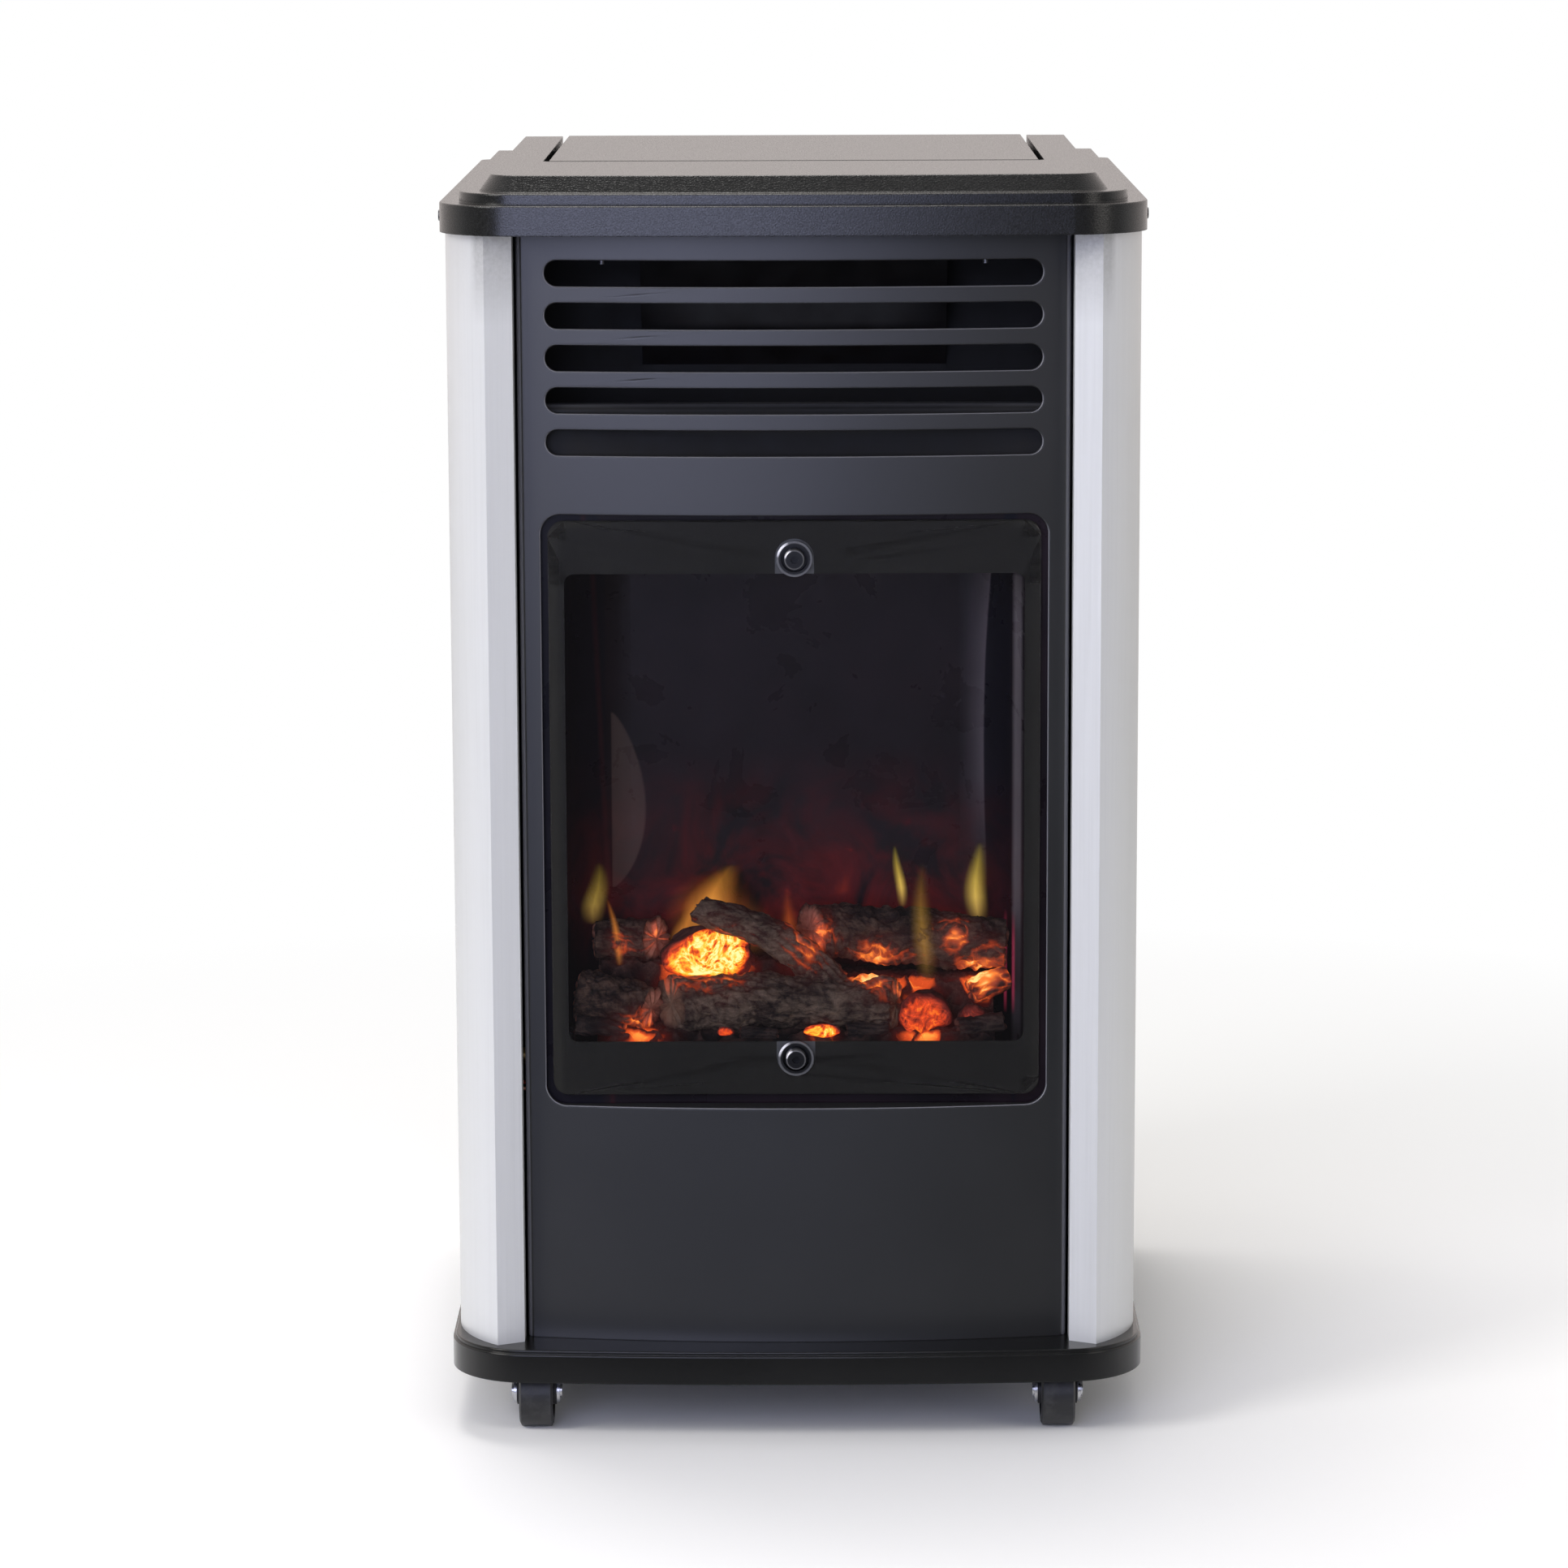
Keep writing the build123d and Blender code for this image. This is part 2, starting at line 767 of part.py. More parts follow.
# ---- Deflectors: the plates seen through the slots ----
lower_plate_y = firebox_front + sheet
lower_plate_top = firebox_top + lower_deflector_height
with BuildPart() as lower_deflector:
    with BuildSketch(side_view(-firebox_half_width - firebox_flange)):
        with BuildLine():
            FilletPolyline(
                (lower_plate_y, firebox_top),
                (lower_plate_y, lower_plate_top),
                (lower_plate_y + lower_deflector_lip, lower_plate_top),
                radius=lower_deflector_bend,
            )
            offset(amount=sheet, side=Side.RIGHT, kind=Kind.INTERSECTION)
        make_face()
    extrude(amount=2 * (firebox_half_width + firebox_flange))
    with BuildSketch(front_view(lower_plate_y + sheet)):
        with Locations((0, firebox_top - deflector_tab / 2)):
            Rectangle(2 * (firebox_half_width - 2 * sheet), deflector_tab)
    extrude(amount=sheet)
save(lower_deflector, "lower_deflector")

baffle_z = rim_bottom - baffle_drop
guide_low_z = rim_bottom - guide_low_drop
with BuildPart() as air_guide:
    with BuildSketch(side_view(-guide_width / 2)):
        with BuildLine():
            Polyline(
                (partition_y, guide_low_z - guide_foot),
                (partition_y, guide_low_z),
                (partition_y - guide_reach, baffle_z),
                (partition_y - guide_reach - guide_foot, baffle_z),
            )
            offset(amount=sheet, side=Side.LEFT, kind=Kind.INTERSECTION)
        make_face()
    extrude(amount=guide_width)
save(air_guide, "air_guide")

baffle_front = panel_rear
with BuildPart() as top_baffle:
    with BuildSketch(Plane.XY.offset(baffle_z)):
        with Locations((0, (baffle_front + partition_y) / 2)):
            Rectangle(2 * baffle_half_width, partition_y - baffle_front)
    extrude(amount=sheet)
    with BuildSketch(Plane.XY.offset(baffle_z)):
        with Locations((0, partition_y - sheet / 2)):
            Rectangle(2 * baffle_half_width, sheet)
    extrude(amount=baffle_flange)
    with BuildSketch(Plane.XY.offset(baffle_z)):
        with Locations((0, baffle_front + baffle_screw_from_front)):
            with GridLocations(2 * baffle_screw_half_span, 0, 2, 1):
                Circle(baffle_screw_radius + pin_gap)
    extrude(amount=sheet, mode=Mode.SUBTRACT)
save(top_baffle, "top_baffle")

with BuildPart() as baffle_screws:
    with BuildSketch(Plane.XY.offset(baffle_z - baffle_screw_tip)):
        with Locations((0, baffle_front + baffle_screw_from_front)):
            with GridLocations(2 * baffle_screw_half_span, 0, 2, 1):
                Circle(baffle_screw_radius)
    extrude(amount=baffle_screw_tip + sheet)
    with BuildSketch(Plane.XY.offset(baffle_z + sheet)):
        with Locations((0, baffle_front + baffle_screw_from_front)):
            with GridLocations(2 * baffle_screw_half_span, 0, 2, 1):
                Circle(baffle_screw_head_radius)
    extrude(amount=baffle_screw_head_height)
    fillet(baffle_screws.edges().group_by(Axis.Z)[-1], soft_edge)
save(baffle_screws, "baffle_screws")

# ---- Burner: a ported box on two feet, fed through a mixing tube by an injector ----
with BuildPart() as burner:
    with BuildSketch(Plane.XY.offset(burner_bottom)):
        with Locations((0, burner_y)):
            RectangleRounded(burner_length, burner_width, burner_corner)
    extrude(amount=burner_height)
    with BuildSketch(Plane.XY.offset(floor_top)):
        with Locations((0, burner_y)):
            with GridLocations(burner_foot_span, 0, 2, 1):
                Rectangle(burner_foot_width, burner_foot_length)
    extrude(amount=burner_foot)
    with BuildSketch(side_view(mixing_end)):
        with Locations((burner_y, mixing_z)):
            Circle(mixing_radius)
    extrude(amount=mixing_reach)
    with BuildSketch(Plane.XY.offset(burner_bottom + burner_wall)):
        with Locations((0, burner_y)):
            Rectangle(burner_length - 2 * burner_wall, burner_width - 2 * burner_wall)
    extrude(amount=burner_height - 2 * burner_wall, mode=Mode.SUBTRACT)
    with BuildSketch(side_view(mixing_end)):
        with Locations((burner_y, mixing_z)):
            Circle(mixing_radius - mixing_wall)
    extrude(amount=mixing_reach + 2 * burner_wall, mode=Mode.SUBTRACT)
    with BuildSketch(Plane.XY.offset(burner_top - burner_wall)):
        with Locations((0, burner_y)):
            with GridLocations(port_pitch, port_pitch, port_columns, port_rows):
                Circle(port_radius)
    extrude(amount=burner_wall, mode=Mode.SUBTRACT)
save(burner, "burner")

with BuildPart() as injector:
    with BuildSketch(side_view(injector_end)):
        with Locations((burner_y, mixing_z)):
            Circle(injector_radius)
    extrude(amount=injector_length)
    chamfer(injector.edges().group_by(Axis.X)[-1], injector_nose)
    with BuildSketch(side_view(injector_tip)):
        with Locations((burner_y, mixing_z)):
            Circle(injector_bore)
    extrude(amount=-injector_bore_depth, mode=Mode.SUBTRACT)
save(injector, "injector")

holder_x = injector_tip - holder_from_tip
with BuildPart() as injector_holder:
    with BuildSketch(Plane.XY.offset(mixing_z - holder_half_width)):
        with Locations(((holder_x - firebox_half_width) / 2, burner_y)):
            Rectangle(-firebox_half_width - holder_x, 2 * holder_half_width)
        with Locations(((holder_x - firebox_half_width) / 2 + sheet, burner_y)):
            Rectangle(-firebox_half_width - holder_x, 2 * (holder_half_width - sheet), mode=Mode.SUBTRACT)
    extrude(amount=2 * holder_half_width)
    with BuildSketch(side_view(holder_x)):
        with Locations((burner_y, mixing_z)):
            Circle(injector_radius + pin_gap)
    extrude(amount=sheet, mode=Mode.SUBTRACT)
save(injector_holder, "injector_holder")

# ---- Ember bed: a moulded block, low in front and stepped up behind ----
ember_rear = burner_y + ember_width / 2
step_front = ember_rear - ember_step_depth
ember_end = ember_length / 2
with BuildPart() as ember_bed:
    with BuildSketch(Plane.XY.offset(burner_top)):
        with Locations((0, burner_y)):
            Rectangle(ember_length, ember_width)
    extrude(amount=ember_front_height)
    with BuildSketch(Plane.XY.offset(burner_top)):
        with Locations(((ember_step_x - ember_end) / 2, (step_front + ember_rear) / 2)):
            Rectangle(ember_step_x + ember_end, ember_step_depth)
    extrude(amount=ember_left_step)
    with BuildSketch(Plane.XY.offset(burner_top)):
        with Locations(((ember_step_x + ember_end) / 2, (step_front + ember_rear) / 2)):
            Rectangle(ember_end - ember_step_x, ember_step_depth)
    extrude(amount=ember_right_step)
    rear_corners = ember_bed.edges().filter_by(Axis.Z).group_by(Axis.Y)[-1]
    fillet(rear_corners.filter_by(lambda e: abs(e.center().X) > ember_end - sheet), ember_corner_radius)
save(ember_bed, "ember_bed")


# ---- Logs: tapered rounds resting on the ember bed ----
def tapered_round(start, end, start_radius, end_radius):
    """Adds a straight tapered round between two centres to the part being built."""
    along = Vector(*end) - Vector(*start)
    with BuildSketch(Plane(origin=start, z_dir=along)) as first:
        Circle(start_radius)
    with BuildSketch(Plane(origin=end, z_dir=along)) as last:
        Circle(end_radius)
    loft(sections=[first.sketch, last.sketch])


bed_top = burner_top + ember_front_height
left_step_top = burner_top + ember_left_step
right_step_top = burner_top + ember_right_step
front_row_y = firebox_front + front_row_setback
rear_row_y = firebox_front + rear_row_setback

front_log_z = bed_top + fit_gap + front_log_radius
with BuildPart() as log_front:
    tapered_round(
        (front_log_left, front_row_y, front_log_z),
        (front_log_right, front_row_y, front_log_z),
        front_log_radius,
        front_log_radius - log_taper,
    )
    tapered_round(
        (branch_root_x, front_row_y + branch_lean / 4, front_log_z + front_log_radius - log_taper),
        (branch_tip_x, front_row_y + branch_lean, front_log_z + branch_rise),
        branch_radius,
        branch_radius - log_taper,
    )
save(log_front, "log_front")

with BuildPart() as log_left:
    tapered_round(
        (left_log_left, front_row_y + left_log_turn, bed_top + left_log_lift + left_log_radius),
        (left_log_right, front_row_y, bed_top + left_log_radius - log_taper),
        left_log_radius,
        left_log_radius - log_taper,
    )
save(log_left, "log_left")

rear_left_z = left_step_top + fit_gap + rear_left_log_radius
with BuildPart() as log_rear_left:
    tapered_round(
        (rear_left_log_left, rear_row_y, rear_left_z),
        (rear_left_log_right, rear_row_y, rear_left_z),
        rear_left_log_radius - log_taper,
        rear_left_log_radius,
    )
save(log_rear_left, "log_rear_left")

with BuildPart() as log_right:
    tapered_round(
        (right_log_left, rear_row_y, left_step_top + log_taper + right_log_radius),
        (right_log_right, rear_row_y, right_step_top + fit_gap + right_log_radius),
        right_log_radius,
        right_log_radius - log_taper,
    )
save(log_right, "log_right")

stone_places = [
    (stone_x, stone_radius),
    (stone_x + stone_radius + 2 * small_stone_radius, small_stone_radius),
]
with BuildPart() as ember_stones:
    for x, radius in stone_places:
        with Locations((x, front_row_y, bed_top + fit_gap + radius)):
            Sphere(radius)
save(ember_stones, "ember_stones")

# ---- Pilot: a block with a hooded jet, a thermocouple and a spark electrode beside it ----
block_bottom = floor_top + pilot_block_rise
with BuildPart() as pilot:
    with BuildSketch(Plane.XY.offset(floor_top)):
        with Locations((pilot_x, pilot_y)):
            Rectangle(pilot_block, sheet)
    extrude(amount=pilot_block_rise)
    with BuildSketch(Plane.XY.offset(block_bottom)):
        with Locations((pilot_x, pilot_y)):
            Rectangle(pilot_block, 2 * pilot_pitch + pilot_block)
        with Locations(*probe_places):
            Circle(probe_radius + pin_gap, mode=Mode.SUBTRACT)
    extrude(amount=2 * sheet)
    with BuildSketch(Plane.XY.offset(block_bottom)):
        with Locations((pilot_x, pilot_y)):
            Circle(hood_radius)
    extrude(amount=pilot_height - pilot_block_rise - sheet)
save(pilot, "pilot")

for name, place in zip(("thermocouple", "spark_electrode"), probe_places):
    with BuildPart() as probe:
        with BuildSketch(Plane.XY.offset(floor_top)):
            with Locations(place):
                Circle(probe_radius)
        extrude(amount=pilot_height)
        fillet(probe.edges().group_by(Axis.Z)[-1], probe_radius / 2)
    save(probe, name)

# ---- Top cap: a pressed lid in three tiers, open in its rear half over a well for the controls ----
seam_y = flap_seam_from_centre
well_half = flap_width / 2 + flap_slit
well_rear = rim_rear - rear_tier_inset - tier_inset
third_rear = rim_rear - 2 * rear_tier_inset
deck_top = cap_top - deck_drop
bead_y = seam_y + flap_seam_gap + flap_bead_radius
bead_z = cap_top - flap_bead_radius


def third_tier(wall):
    """The third tier's tapered block, or the hollow under it when a wall is given."""
    inset = 2 * tier_inset + wall * (1 - tier_slope / third_tier_height)
    rear_inset = 2 * rear_tier_inset + wall * (1 - rear_tier_slope / third_tier_height)
    with BuildPart() as block:
        with BuildSketch(Plane.XY.offset(second_top - wall)):
            add(rim_outline(inset, rear_inset))
        with BuildSketch(Plane.XY.offset(cap_top - wall)):
            add(rim_outline(inset + tier_slope, rear_inset + rear_tier_slope))
        loft(ruled=True)
    return block.part


with BuildPart() as top_cap:
    with BuildSketch(Plane.XY.offset(rim_bottom)):
        add(rim_outline(0, 0))
    extrude(amount=rim_height)
    fillet(top_cap.edges().group_by(Axis.Z)[-1], soft_edge)
    with BuildSketch(Plane.XY.offset(rim_top)):
        add(rim_outline(tier_inset, rear_tier_inset))
    extrude(amount=second_tier_height)
    fillet(top_cap.edges().group_by(Axis.Z)[-1], soft_edge)
    add(third_tier(0))
    fillet(top_cap.edges().group_by(Axis.Z)[-1], soft_edge)
    with BuildSketch(Plane.XY.offset(rim_bottom)):
        add(rim_outline(rim_wall, rim_wall))
    extrude(amount=cap_ceiling - rim_bottom, mode=Mode.SUBTRACT)
    with BuildSketch(Plane.XY.offset(cap_ceiling)):
        add(rim_outline(tier_inset + pressed_sheet, rear_tier_inset + pressed_sheet))
    extrude(amount=second_tier_height, mode=Mode.SUBTRACT)
    add(third_tier(pressed_sheet), mode=Mode.SUBTRACT)
    with BuildSketch(Plane.XY.offset(deck_top)):
        with Locations((0, (seam_y + well_rear) / 2)):
            Rectangle(2 * well_half, well_rear - seam_y)
    extrude(amount=deck_drop, mode=Mode.SUBTRACT)
    with BuildSketch(Plane.XY.offset(second_top)) as rear_cut:
        with Locations((0, (well_rear + rim_rear) / 2)):
            Rectangle(2 * well_half, rim_rear - well_rear)
        with Locations((0, (third_rear + rim_rear) / 2)):
            Rectangle(2 * rim_half, rim_rear - third_rear)
        cut_corners = rear_cut.vertices().filter_by(lambda v: abs(v.Y - third_rear) < 0.01)
        fillet(cut_corners.filter_by(lambda v: abs(v.X) < rim_half - sheet), slit_corner_radius)
    extrude(amount=third_tier_height, mode=Mode.SUBTRACT)
    with BuildSketch(Plane.XY.offset(deck_top)):
        with Locations((0, (seam_y - well_wall + well_rear) / 2)):
            Rectangle(2 * (well_half + well_wall), well_rear - seam_y + well_wall)
        with Locations((0, (seam_y + well_rear) / 2)):
            Rectangle(2 * well_half, well_rear - seam_y, mode=Mode.SUBTRACT)
    extrude(amount=deck_drop - pressed_sheet / 2)
    for side in (-1, 1):
        with BuildSketch(side_view(side * (well_half + well_wall))):
            with Locations((bead_y, bead_z)):
                Circle(hinge_pin_radius + pin_gap)
        extrude(amount=-side * well_wall, mode=Mode.SUBTRACT)
        with BuildSketch(side_view(side * rim_half)):
            with Locations(*cap_screw_places):
                Circle(cap_screw_radius + pin_gap)
        extrude(amount=-side * rim_wall, mode=Mode.SUBTRACT)
save(top_cap, "top_cap")

with BuildPart() as top_cap_screws:
    for side in (-1, 1):
        with BuildSketch(side_view(side * rim_half)):
            with Locations(*cap_screw_places):
                Circle(cap_screw_radius)
        extrude(amount=-side * cap_screw_reach)
        with BuildSketch(side_view(side * rim_half)):
            with Locations(*cap_screw_places):
                Circle(cap_screw_head_radius)
        extrude(amount=side * cap_screw_head_height)
    outer_rings = top_cap_screws.edges().filter_by(lambda e: abs(e.center().X) > rim_half + soft_edge)
    fillet(outer_rings, soft_edge)
save(top_cap_screws, "top_cap_screws")

# ---- Control flap: hinged at its front bead, with turned-down sides and a rear lip ----
flap_rear = third_rear - rear_tier_slope + flap_rear_overhang
with BuildPart() as control_flap:
    with BuildSketch(side_view(-flap_width / 2)):
        with Locations((bead_y, bead_z)):
            Circle(flap_bead_radius)
        with Locations(((bead_y + flap_rear) / 2, cap_top - flap_plate / 2)):
            Rectangle(flap_rear - bead_y, flap_plate)
        with Locations((flap_rear - flap_plate / 2, cap_top - (third_tier_height - flap_lip_gap) / 2)):
            Rectangle(flap_plate, third_tier_height - flap_lip_gap)
    extrude(amount=flap_width)
    stiffener_front = bead_y + 2 * flap_bead_radius
    with BuildSketch(Plane.XY.offset(cap_top - flap_plate - flap_stiffener)):
        with Locations((0, (stiffener_front + flap_rear) / 2)):
            with GridLocations(flap_width - flap_plate, 0, 2, 1):
                Rectangle(flap_plate, flap_rear - stiffener_front)
    extrude(amount=flap_stiffener)
    top_rear = control_flap.edges().filter_by(Axis.X).filter_by(lambda e: e.center().Y > flap_rear - 0.01)
    fillet(top_rear.sort_by(Axis.Z)[-1], soft_edge)
    fillet(control_flap.edges().filter_by(Axis.Y).group_by(Axis.Z)[-1], soft_edge)
    for side in (-1, 1):
        with BuildSketch(side_view(side * flap_width / 2)):
            with Locations((bead_y, bead_z)):
                Circle(hinge_pin_radius + pin_gap)
        extrude(amount=-side * (hinge_pin_reach + fit_gap), mode=Mode.SUBTRACT)
save(control_flap, "control_flap")

with BuildPart() as flap_hinge_pins:
    for side in (-1, 1):
        with BuildSketch(side_view(side * (well_half + well_wall))):
            with Locations((bead_y, bead_z)):
                Circle(hinge_pin_radius)
        extrude(amount=-side * (well_wall + flap_slit + hinge_pin_reach))
save(flap_hinge_pins, "flap_hinge_pins")

# ---- Controls: a deck under the flap that carries the gas valve and the igniter ----
knob_y = seam_y + knob_from_seam
deck_front = seam_y - well_wall
deck_rear = seam_y + deck_length
valve_top = deck_top - deck_sheet
with BuildPart() as control_deck:
    with BuildSketch(Plane.XY.offset(valve_top)):
        with Locations((0, (deck_front + deck_rear) / 2)):
            Rectangle(2 * (well_half + well_wall), deck_rear - deck_front)
        with Locations((knob_x, knob_y)):
            Circle(spindle_radius + pin_gap, mode=Mode.SUBTRACT)
        with Locations((igniter_x, knob_y)):
            Circle(igniter_radius + pin_gap, mode=Mode.SUBTRACT)
    extrude(amount=deck_sheet)
save(control_deck, "control_deck")

valve_left = knob_x - valve_width / 2
valve_rear = knob_y + valve_depth / 2
outlet_z = valve_top - outlet_drop
tap_y = knob_y - tap_offset
tap_z = valve_top - tap_drop
with BuildPart() as gas_valve:
    with BuildSketch(Plane.XY.offset(valve_top - valve_height)):
        with Locations((knob_x, knob_y)):
            RectangleRounded(valve_width, valve_depth, valve_corner)
    extrude(amount=valve_height)
    with BuildSketch(side_view(valve_left)):
        with Locations((knob_y, outlet_z)):
            Circle(outlet_radius)
    extrude(amount=-outlet_length)
    with BuildSketch(side_view(valve_left)):
        with Locations((tap_y, tap_z)):
            Circle(tap_radius)
    extrude(amount=-tap_length)
    with BuildSketch(Plane.XY.offset(valve_top)):
        with Locations((knob_x, knob_y)):
            Circle(spindle_radius + pin_gap)
    extrude(amount=-bore_depth, mode=Mode.SUBTRACT)
save(gas_valve, "gas_valve")

collar_bottom = deck_top + 2 * pin_gap
collar_top = collar_bottom + collar_height
knob_bottom = deck_top + knob_gap
knob_ceiling = knob_bottom + knob_recess_depth
spindle_top = knob_ceiling + knob_socket
with BuildPart() as stop_collar:
    with BuildSketch(Plane.XY.offset(collar_bottom)):
        with Locations((knob_x, knob_y)):
            Circle(collar_radius)
            Circle(spindle_radius + pin_gap, mode=Mode.SUBTRACT)
    extrude(amount=collar_height)
save(stop_collar, "stop_collar")

with BuildPart() as valve_spindle:
    with BuildSketch(Plane.XY.offset(valve_top - bore_depth + knob_travel + fit_gap)):
        with Locations((knob_x, knob_y)):
            Circle(spindle_radius)
    extrude(amount=spindle_top - valve_top + bore_depth - knob_travel - fit_gap)
save(valve_spindle, "valve_spindle")

knob_top = knob_bottom + knob_height
with BuildPart() as control_knob:
    with BuildSketch(Plane.XY.offset(knob_bottom)):
        with Locations((knob_x, knob_y)):
            Circle(knob_radius)
    with BuildSketch(Plane.XY.offset(knob_top)):
        with Locations((knob_x, knob_y)):
            Circle(knob_radius - knob_taper)
    loft()
    fillet(control_knob.edges().group_by(Axis.Z)[-1], 2 * soft_edge)
    with BuildSketch(Plane.XY.offset(knob_bottom)):
        with Locations((knob_x, knob_y)):
            with PolarLocations(knob_radius + knob_flute_rise, knob_flutes):
                Circle(knob_flute_radius)
    extrude(amount=knob_height, mode=Mode.SUBTRACT)
    with BuildSketch(Plane.XY.offset(knob_top)):
        with Locations((knob_x, knob_y - knob_radius + knob_taper + pointer_setback + pointer_length / 2)):
            SlotOverall(pointer_length, pointer_width, rotation=90)
    extrude(amount=pointer_height)
    with BuildSketch(Plane.XY.offset(knob_bottom)):
        with Locations((knob_x, knob_y)):
            Circle(knob_recess_radius)
    extrude(amount=knob_recess_depth, mode=Mode.SUBTRACT)
    with BuildSketch(Plane.XY.offset(knob_ceiling)):
        with Locations((knob_x, knob_y)):
            Circle(spindle_radius)
    extrude(amount=knob_socket, mode=Mode.SUBTRACT)
save(control_knob, "control_knob")

with BuildPart() as knob_spring:
    with BuildSketch(Plane.XY.offset(collar_top)):
        with Locations((knob_x, knob_y)):
            Circle(spring_radius)
            Circle(spring_radius - spring_wall, mode=Mode.SUBTRACT)
    extrude(amount=knob_ceiling - collar_top)
save(knob_spring, "knob_spring")

with BuildPart() as hose_inlet:
    with BuildSketch(front_view(valve_rear)):
        with Locations((knob_x, outlet_z)):
            RegularPolygon(nozzle_collar_radius, 6)
    extrude(amount=-nozzle_collar_length)
    with BuildSketch(front_view(valve_rear + nozzle_collar_length)):
        with Locations((knob_x, outlet_z)):
            Circle(nozzle_radius)
    extrude(amount=-nozzle_length)
    chamfer(hose_inlet.edges().group_by(Axis.Y)[-1], soft_edge)
save(hose_inlet, "hose_inlet")

igniter_top = deck_top + igniter_collar_height
igniter_bottom = igniter_top - igniter_length
button_bottom = igniter_top - button_depth
spring_bottom = button_bottom - button_travel - spring_block
with BuildPart() as igniter_body:
    with BuildSketch(Plane.XY.offset(igniter_bottom)):
        with Locations((igniter_x, knob_y)):
            Circle(igniter_radius)
    extrude(amount=igniter_length)
    with BuildSketch(Plane.XY.offset(deck_top)):
        with Locations((igniter_x, knob_y)):
            Circle(igniter_collar_radius)
    extrude(amount=igniter_collar_height)
    fillet(igniter_body.edges().group_by(Axis.Z)[-1], soft_edge)
    with BuildSketch(Plane.XY.offset(igniter_top)):
        with Locations((igniter_x, knob_y)):
            Circle(button_radius + 2 * pin_gap)
    extrude(amount=spring_bottom - igniter_top, mode=Mode.SUBTRACT)
save(igniter_body, "igniter_body")

with BuildPart() as igniter_button:
    with BuildSketch(Plane.XY.offset(button_bottom)):
        with Locations((igniter_x, knob_y)):
            Circle(button_radius)
    extrude(amount=button_depth + button_height)
    fillet(igniter_button.edges().group_by(Axis.Z)[-1], 2 * soft_edge)
save(igniter_button, "igniter_button")

with BuildPart() as igniter_spring:
    with BuildSketch(Plane.XY.offset(spring_bottom)):
        with Locations((igniter_x, knob_y)):
            Circle(spring_radius - spring_wall)
            Circle(spring_radius - 2 * spring_wall, mode=Mode.SUBTRACT)
    extrude(amount=button_bottom - spring_bottom)
save(igniter_spring, "igniter_spring")


# ---- Pipe and leads: from the controls down behind the partition and forward to the fire ----
def save_routed(name, radius, bend, start, route_x, end):
    """Writes a tube that runs left, forward, down a column behind the partition, forward and right."""
    left_x, start_y, start_z = start
    end_x, end_y, end_z = end
    with BuildPart() as tube:
        with BuildLine() as route:
            FilletPolyline(
                start,
                (route_x, start_y, start_z),
                (route_x, column_y, start_z),
                (route_x, column_y, end_z),
                (route_x, end_y, end_z),
                end,
                radius=bend,
            )
        with BuildSketch(Plane(origin=start, z_dir=(-1, 0, 0))) as section:
            Circle(radius)
        sweep(sections=section.sketch, path=route.wire())
    save(tube, name)


outlet_end = valve_left - outlet_length
tap_end = valve_left - tap_length
save_routed(
    "feed_pipe",
    feed_pipe_radius,
    feed_bend_share * (injector_end - pipe_column_x),
    (outlet_end, knob_y, outlet_z),
    pipe_column_x,
    (injector_end, burner_y, mixing_z),
)
save_routed(
    "thermocouple_lead",
    lead_radius,
    pipe_bend,
    (tap_end, tap_y, tap_z),
    probe_column_x,
    (pilot_x - probe_radius, pilot_y - pilot_pitch, pilot_lead_z),
)
save_routed(
    "ignition_lead",
    lead_radius,
    pipe_bend,
    (igniter_x - igniter_radius, knob_y, igniter_bottom + igniter_terminal_rise),
    spark_column_x,
    (pilot_x - probe_radius, pilot_y + pilot_pitch, pilot_lead_z),
)

# ---- Rear door: an inset folded sheet with vents, on two pins, with a quarter-turn latch ----
door_half = body_half - rear_flange - door_gap
door_bottom = base_top + door_gap
door_top = rim_bottom - door_gap
door_pin_x = door_half - door_pin_inset
door_pin_y = door_y - door_pin_depth
door_middle = (door_bottom + door_top) / 2
latch_x = -door_half + latch_inset
latch_z = base_top + latch_rise
vent_bank = (door_vents + 2) * door_vent_pitch
vent_centres = [(0, door_bottom + vent_bank / 2), (0, door_top - vent_bank / 2)]
with BuildPart() as rear_door:
    with BuildSketch(front_view(door_y)):
        with Locations((0, door_middle)):
            Rectangle(2 * door_half, door_top - door_bottom)
    extrude(amount=door_fold)
    fillet(rear_door.faces().sort_by(Axis.Y)[-1].outer_wire().edges(), soft_edge)
    with BuildSketch(front_view(door_y - sheet)):
        with Locations((0, door_middle)):
            Rectangle(2 * (door_half - sheet), door_top - door_bottom - 2 * sheet)
    extrude(amount=door_fold, mode=Mode.SUBTRACT)
    with BuildSketch(Plane.XY.offset(door_bottom)):
        with Locations((door_pin_x, door_pin_y)):
            Circle(door_pin_radius + pin_gap)
    extrude(amount=door_top - door_bottom, mode=Mode.SUBTRACT)
    with BuildSketch(front_view(door_y)):
        for centre in vent_centres:
            with Locations(centre):
                with GridLocations(door_half, door_vent_pitch, 2, door_vents):
                    SlotOverall(door_vent_length, door_vent_height)
        with Locations((latch_x, latch_z)):
            Circle(latch_shaft_radius + pin_gap)
    extrude(amount=sheet, mode=Mode.SUBTRACT)
    with BuildSketch(front_view(door_y - sheet)):
        with Locations((-door_half, latch_z)):
            Rectangle(4 * sheet, 2 * latch_notch)
    extrude(amount=door_fold, mode=Mode.SUBTRACT)
save(rear_door, "rear_door")

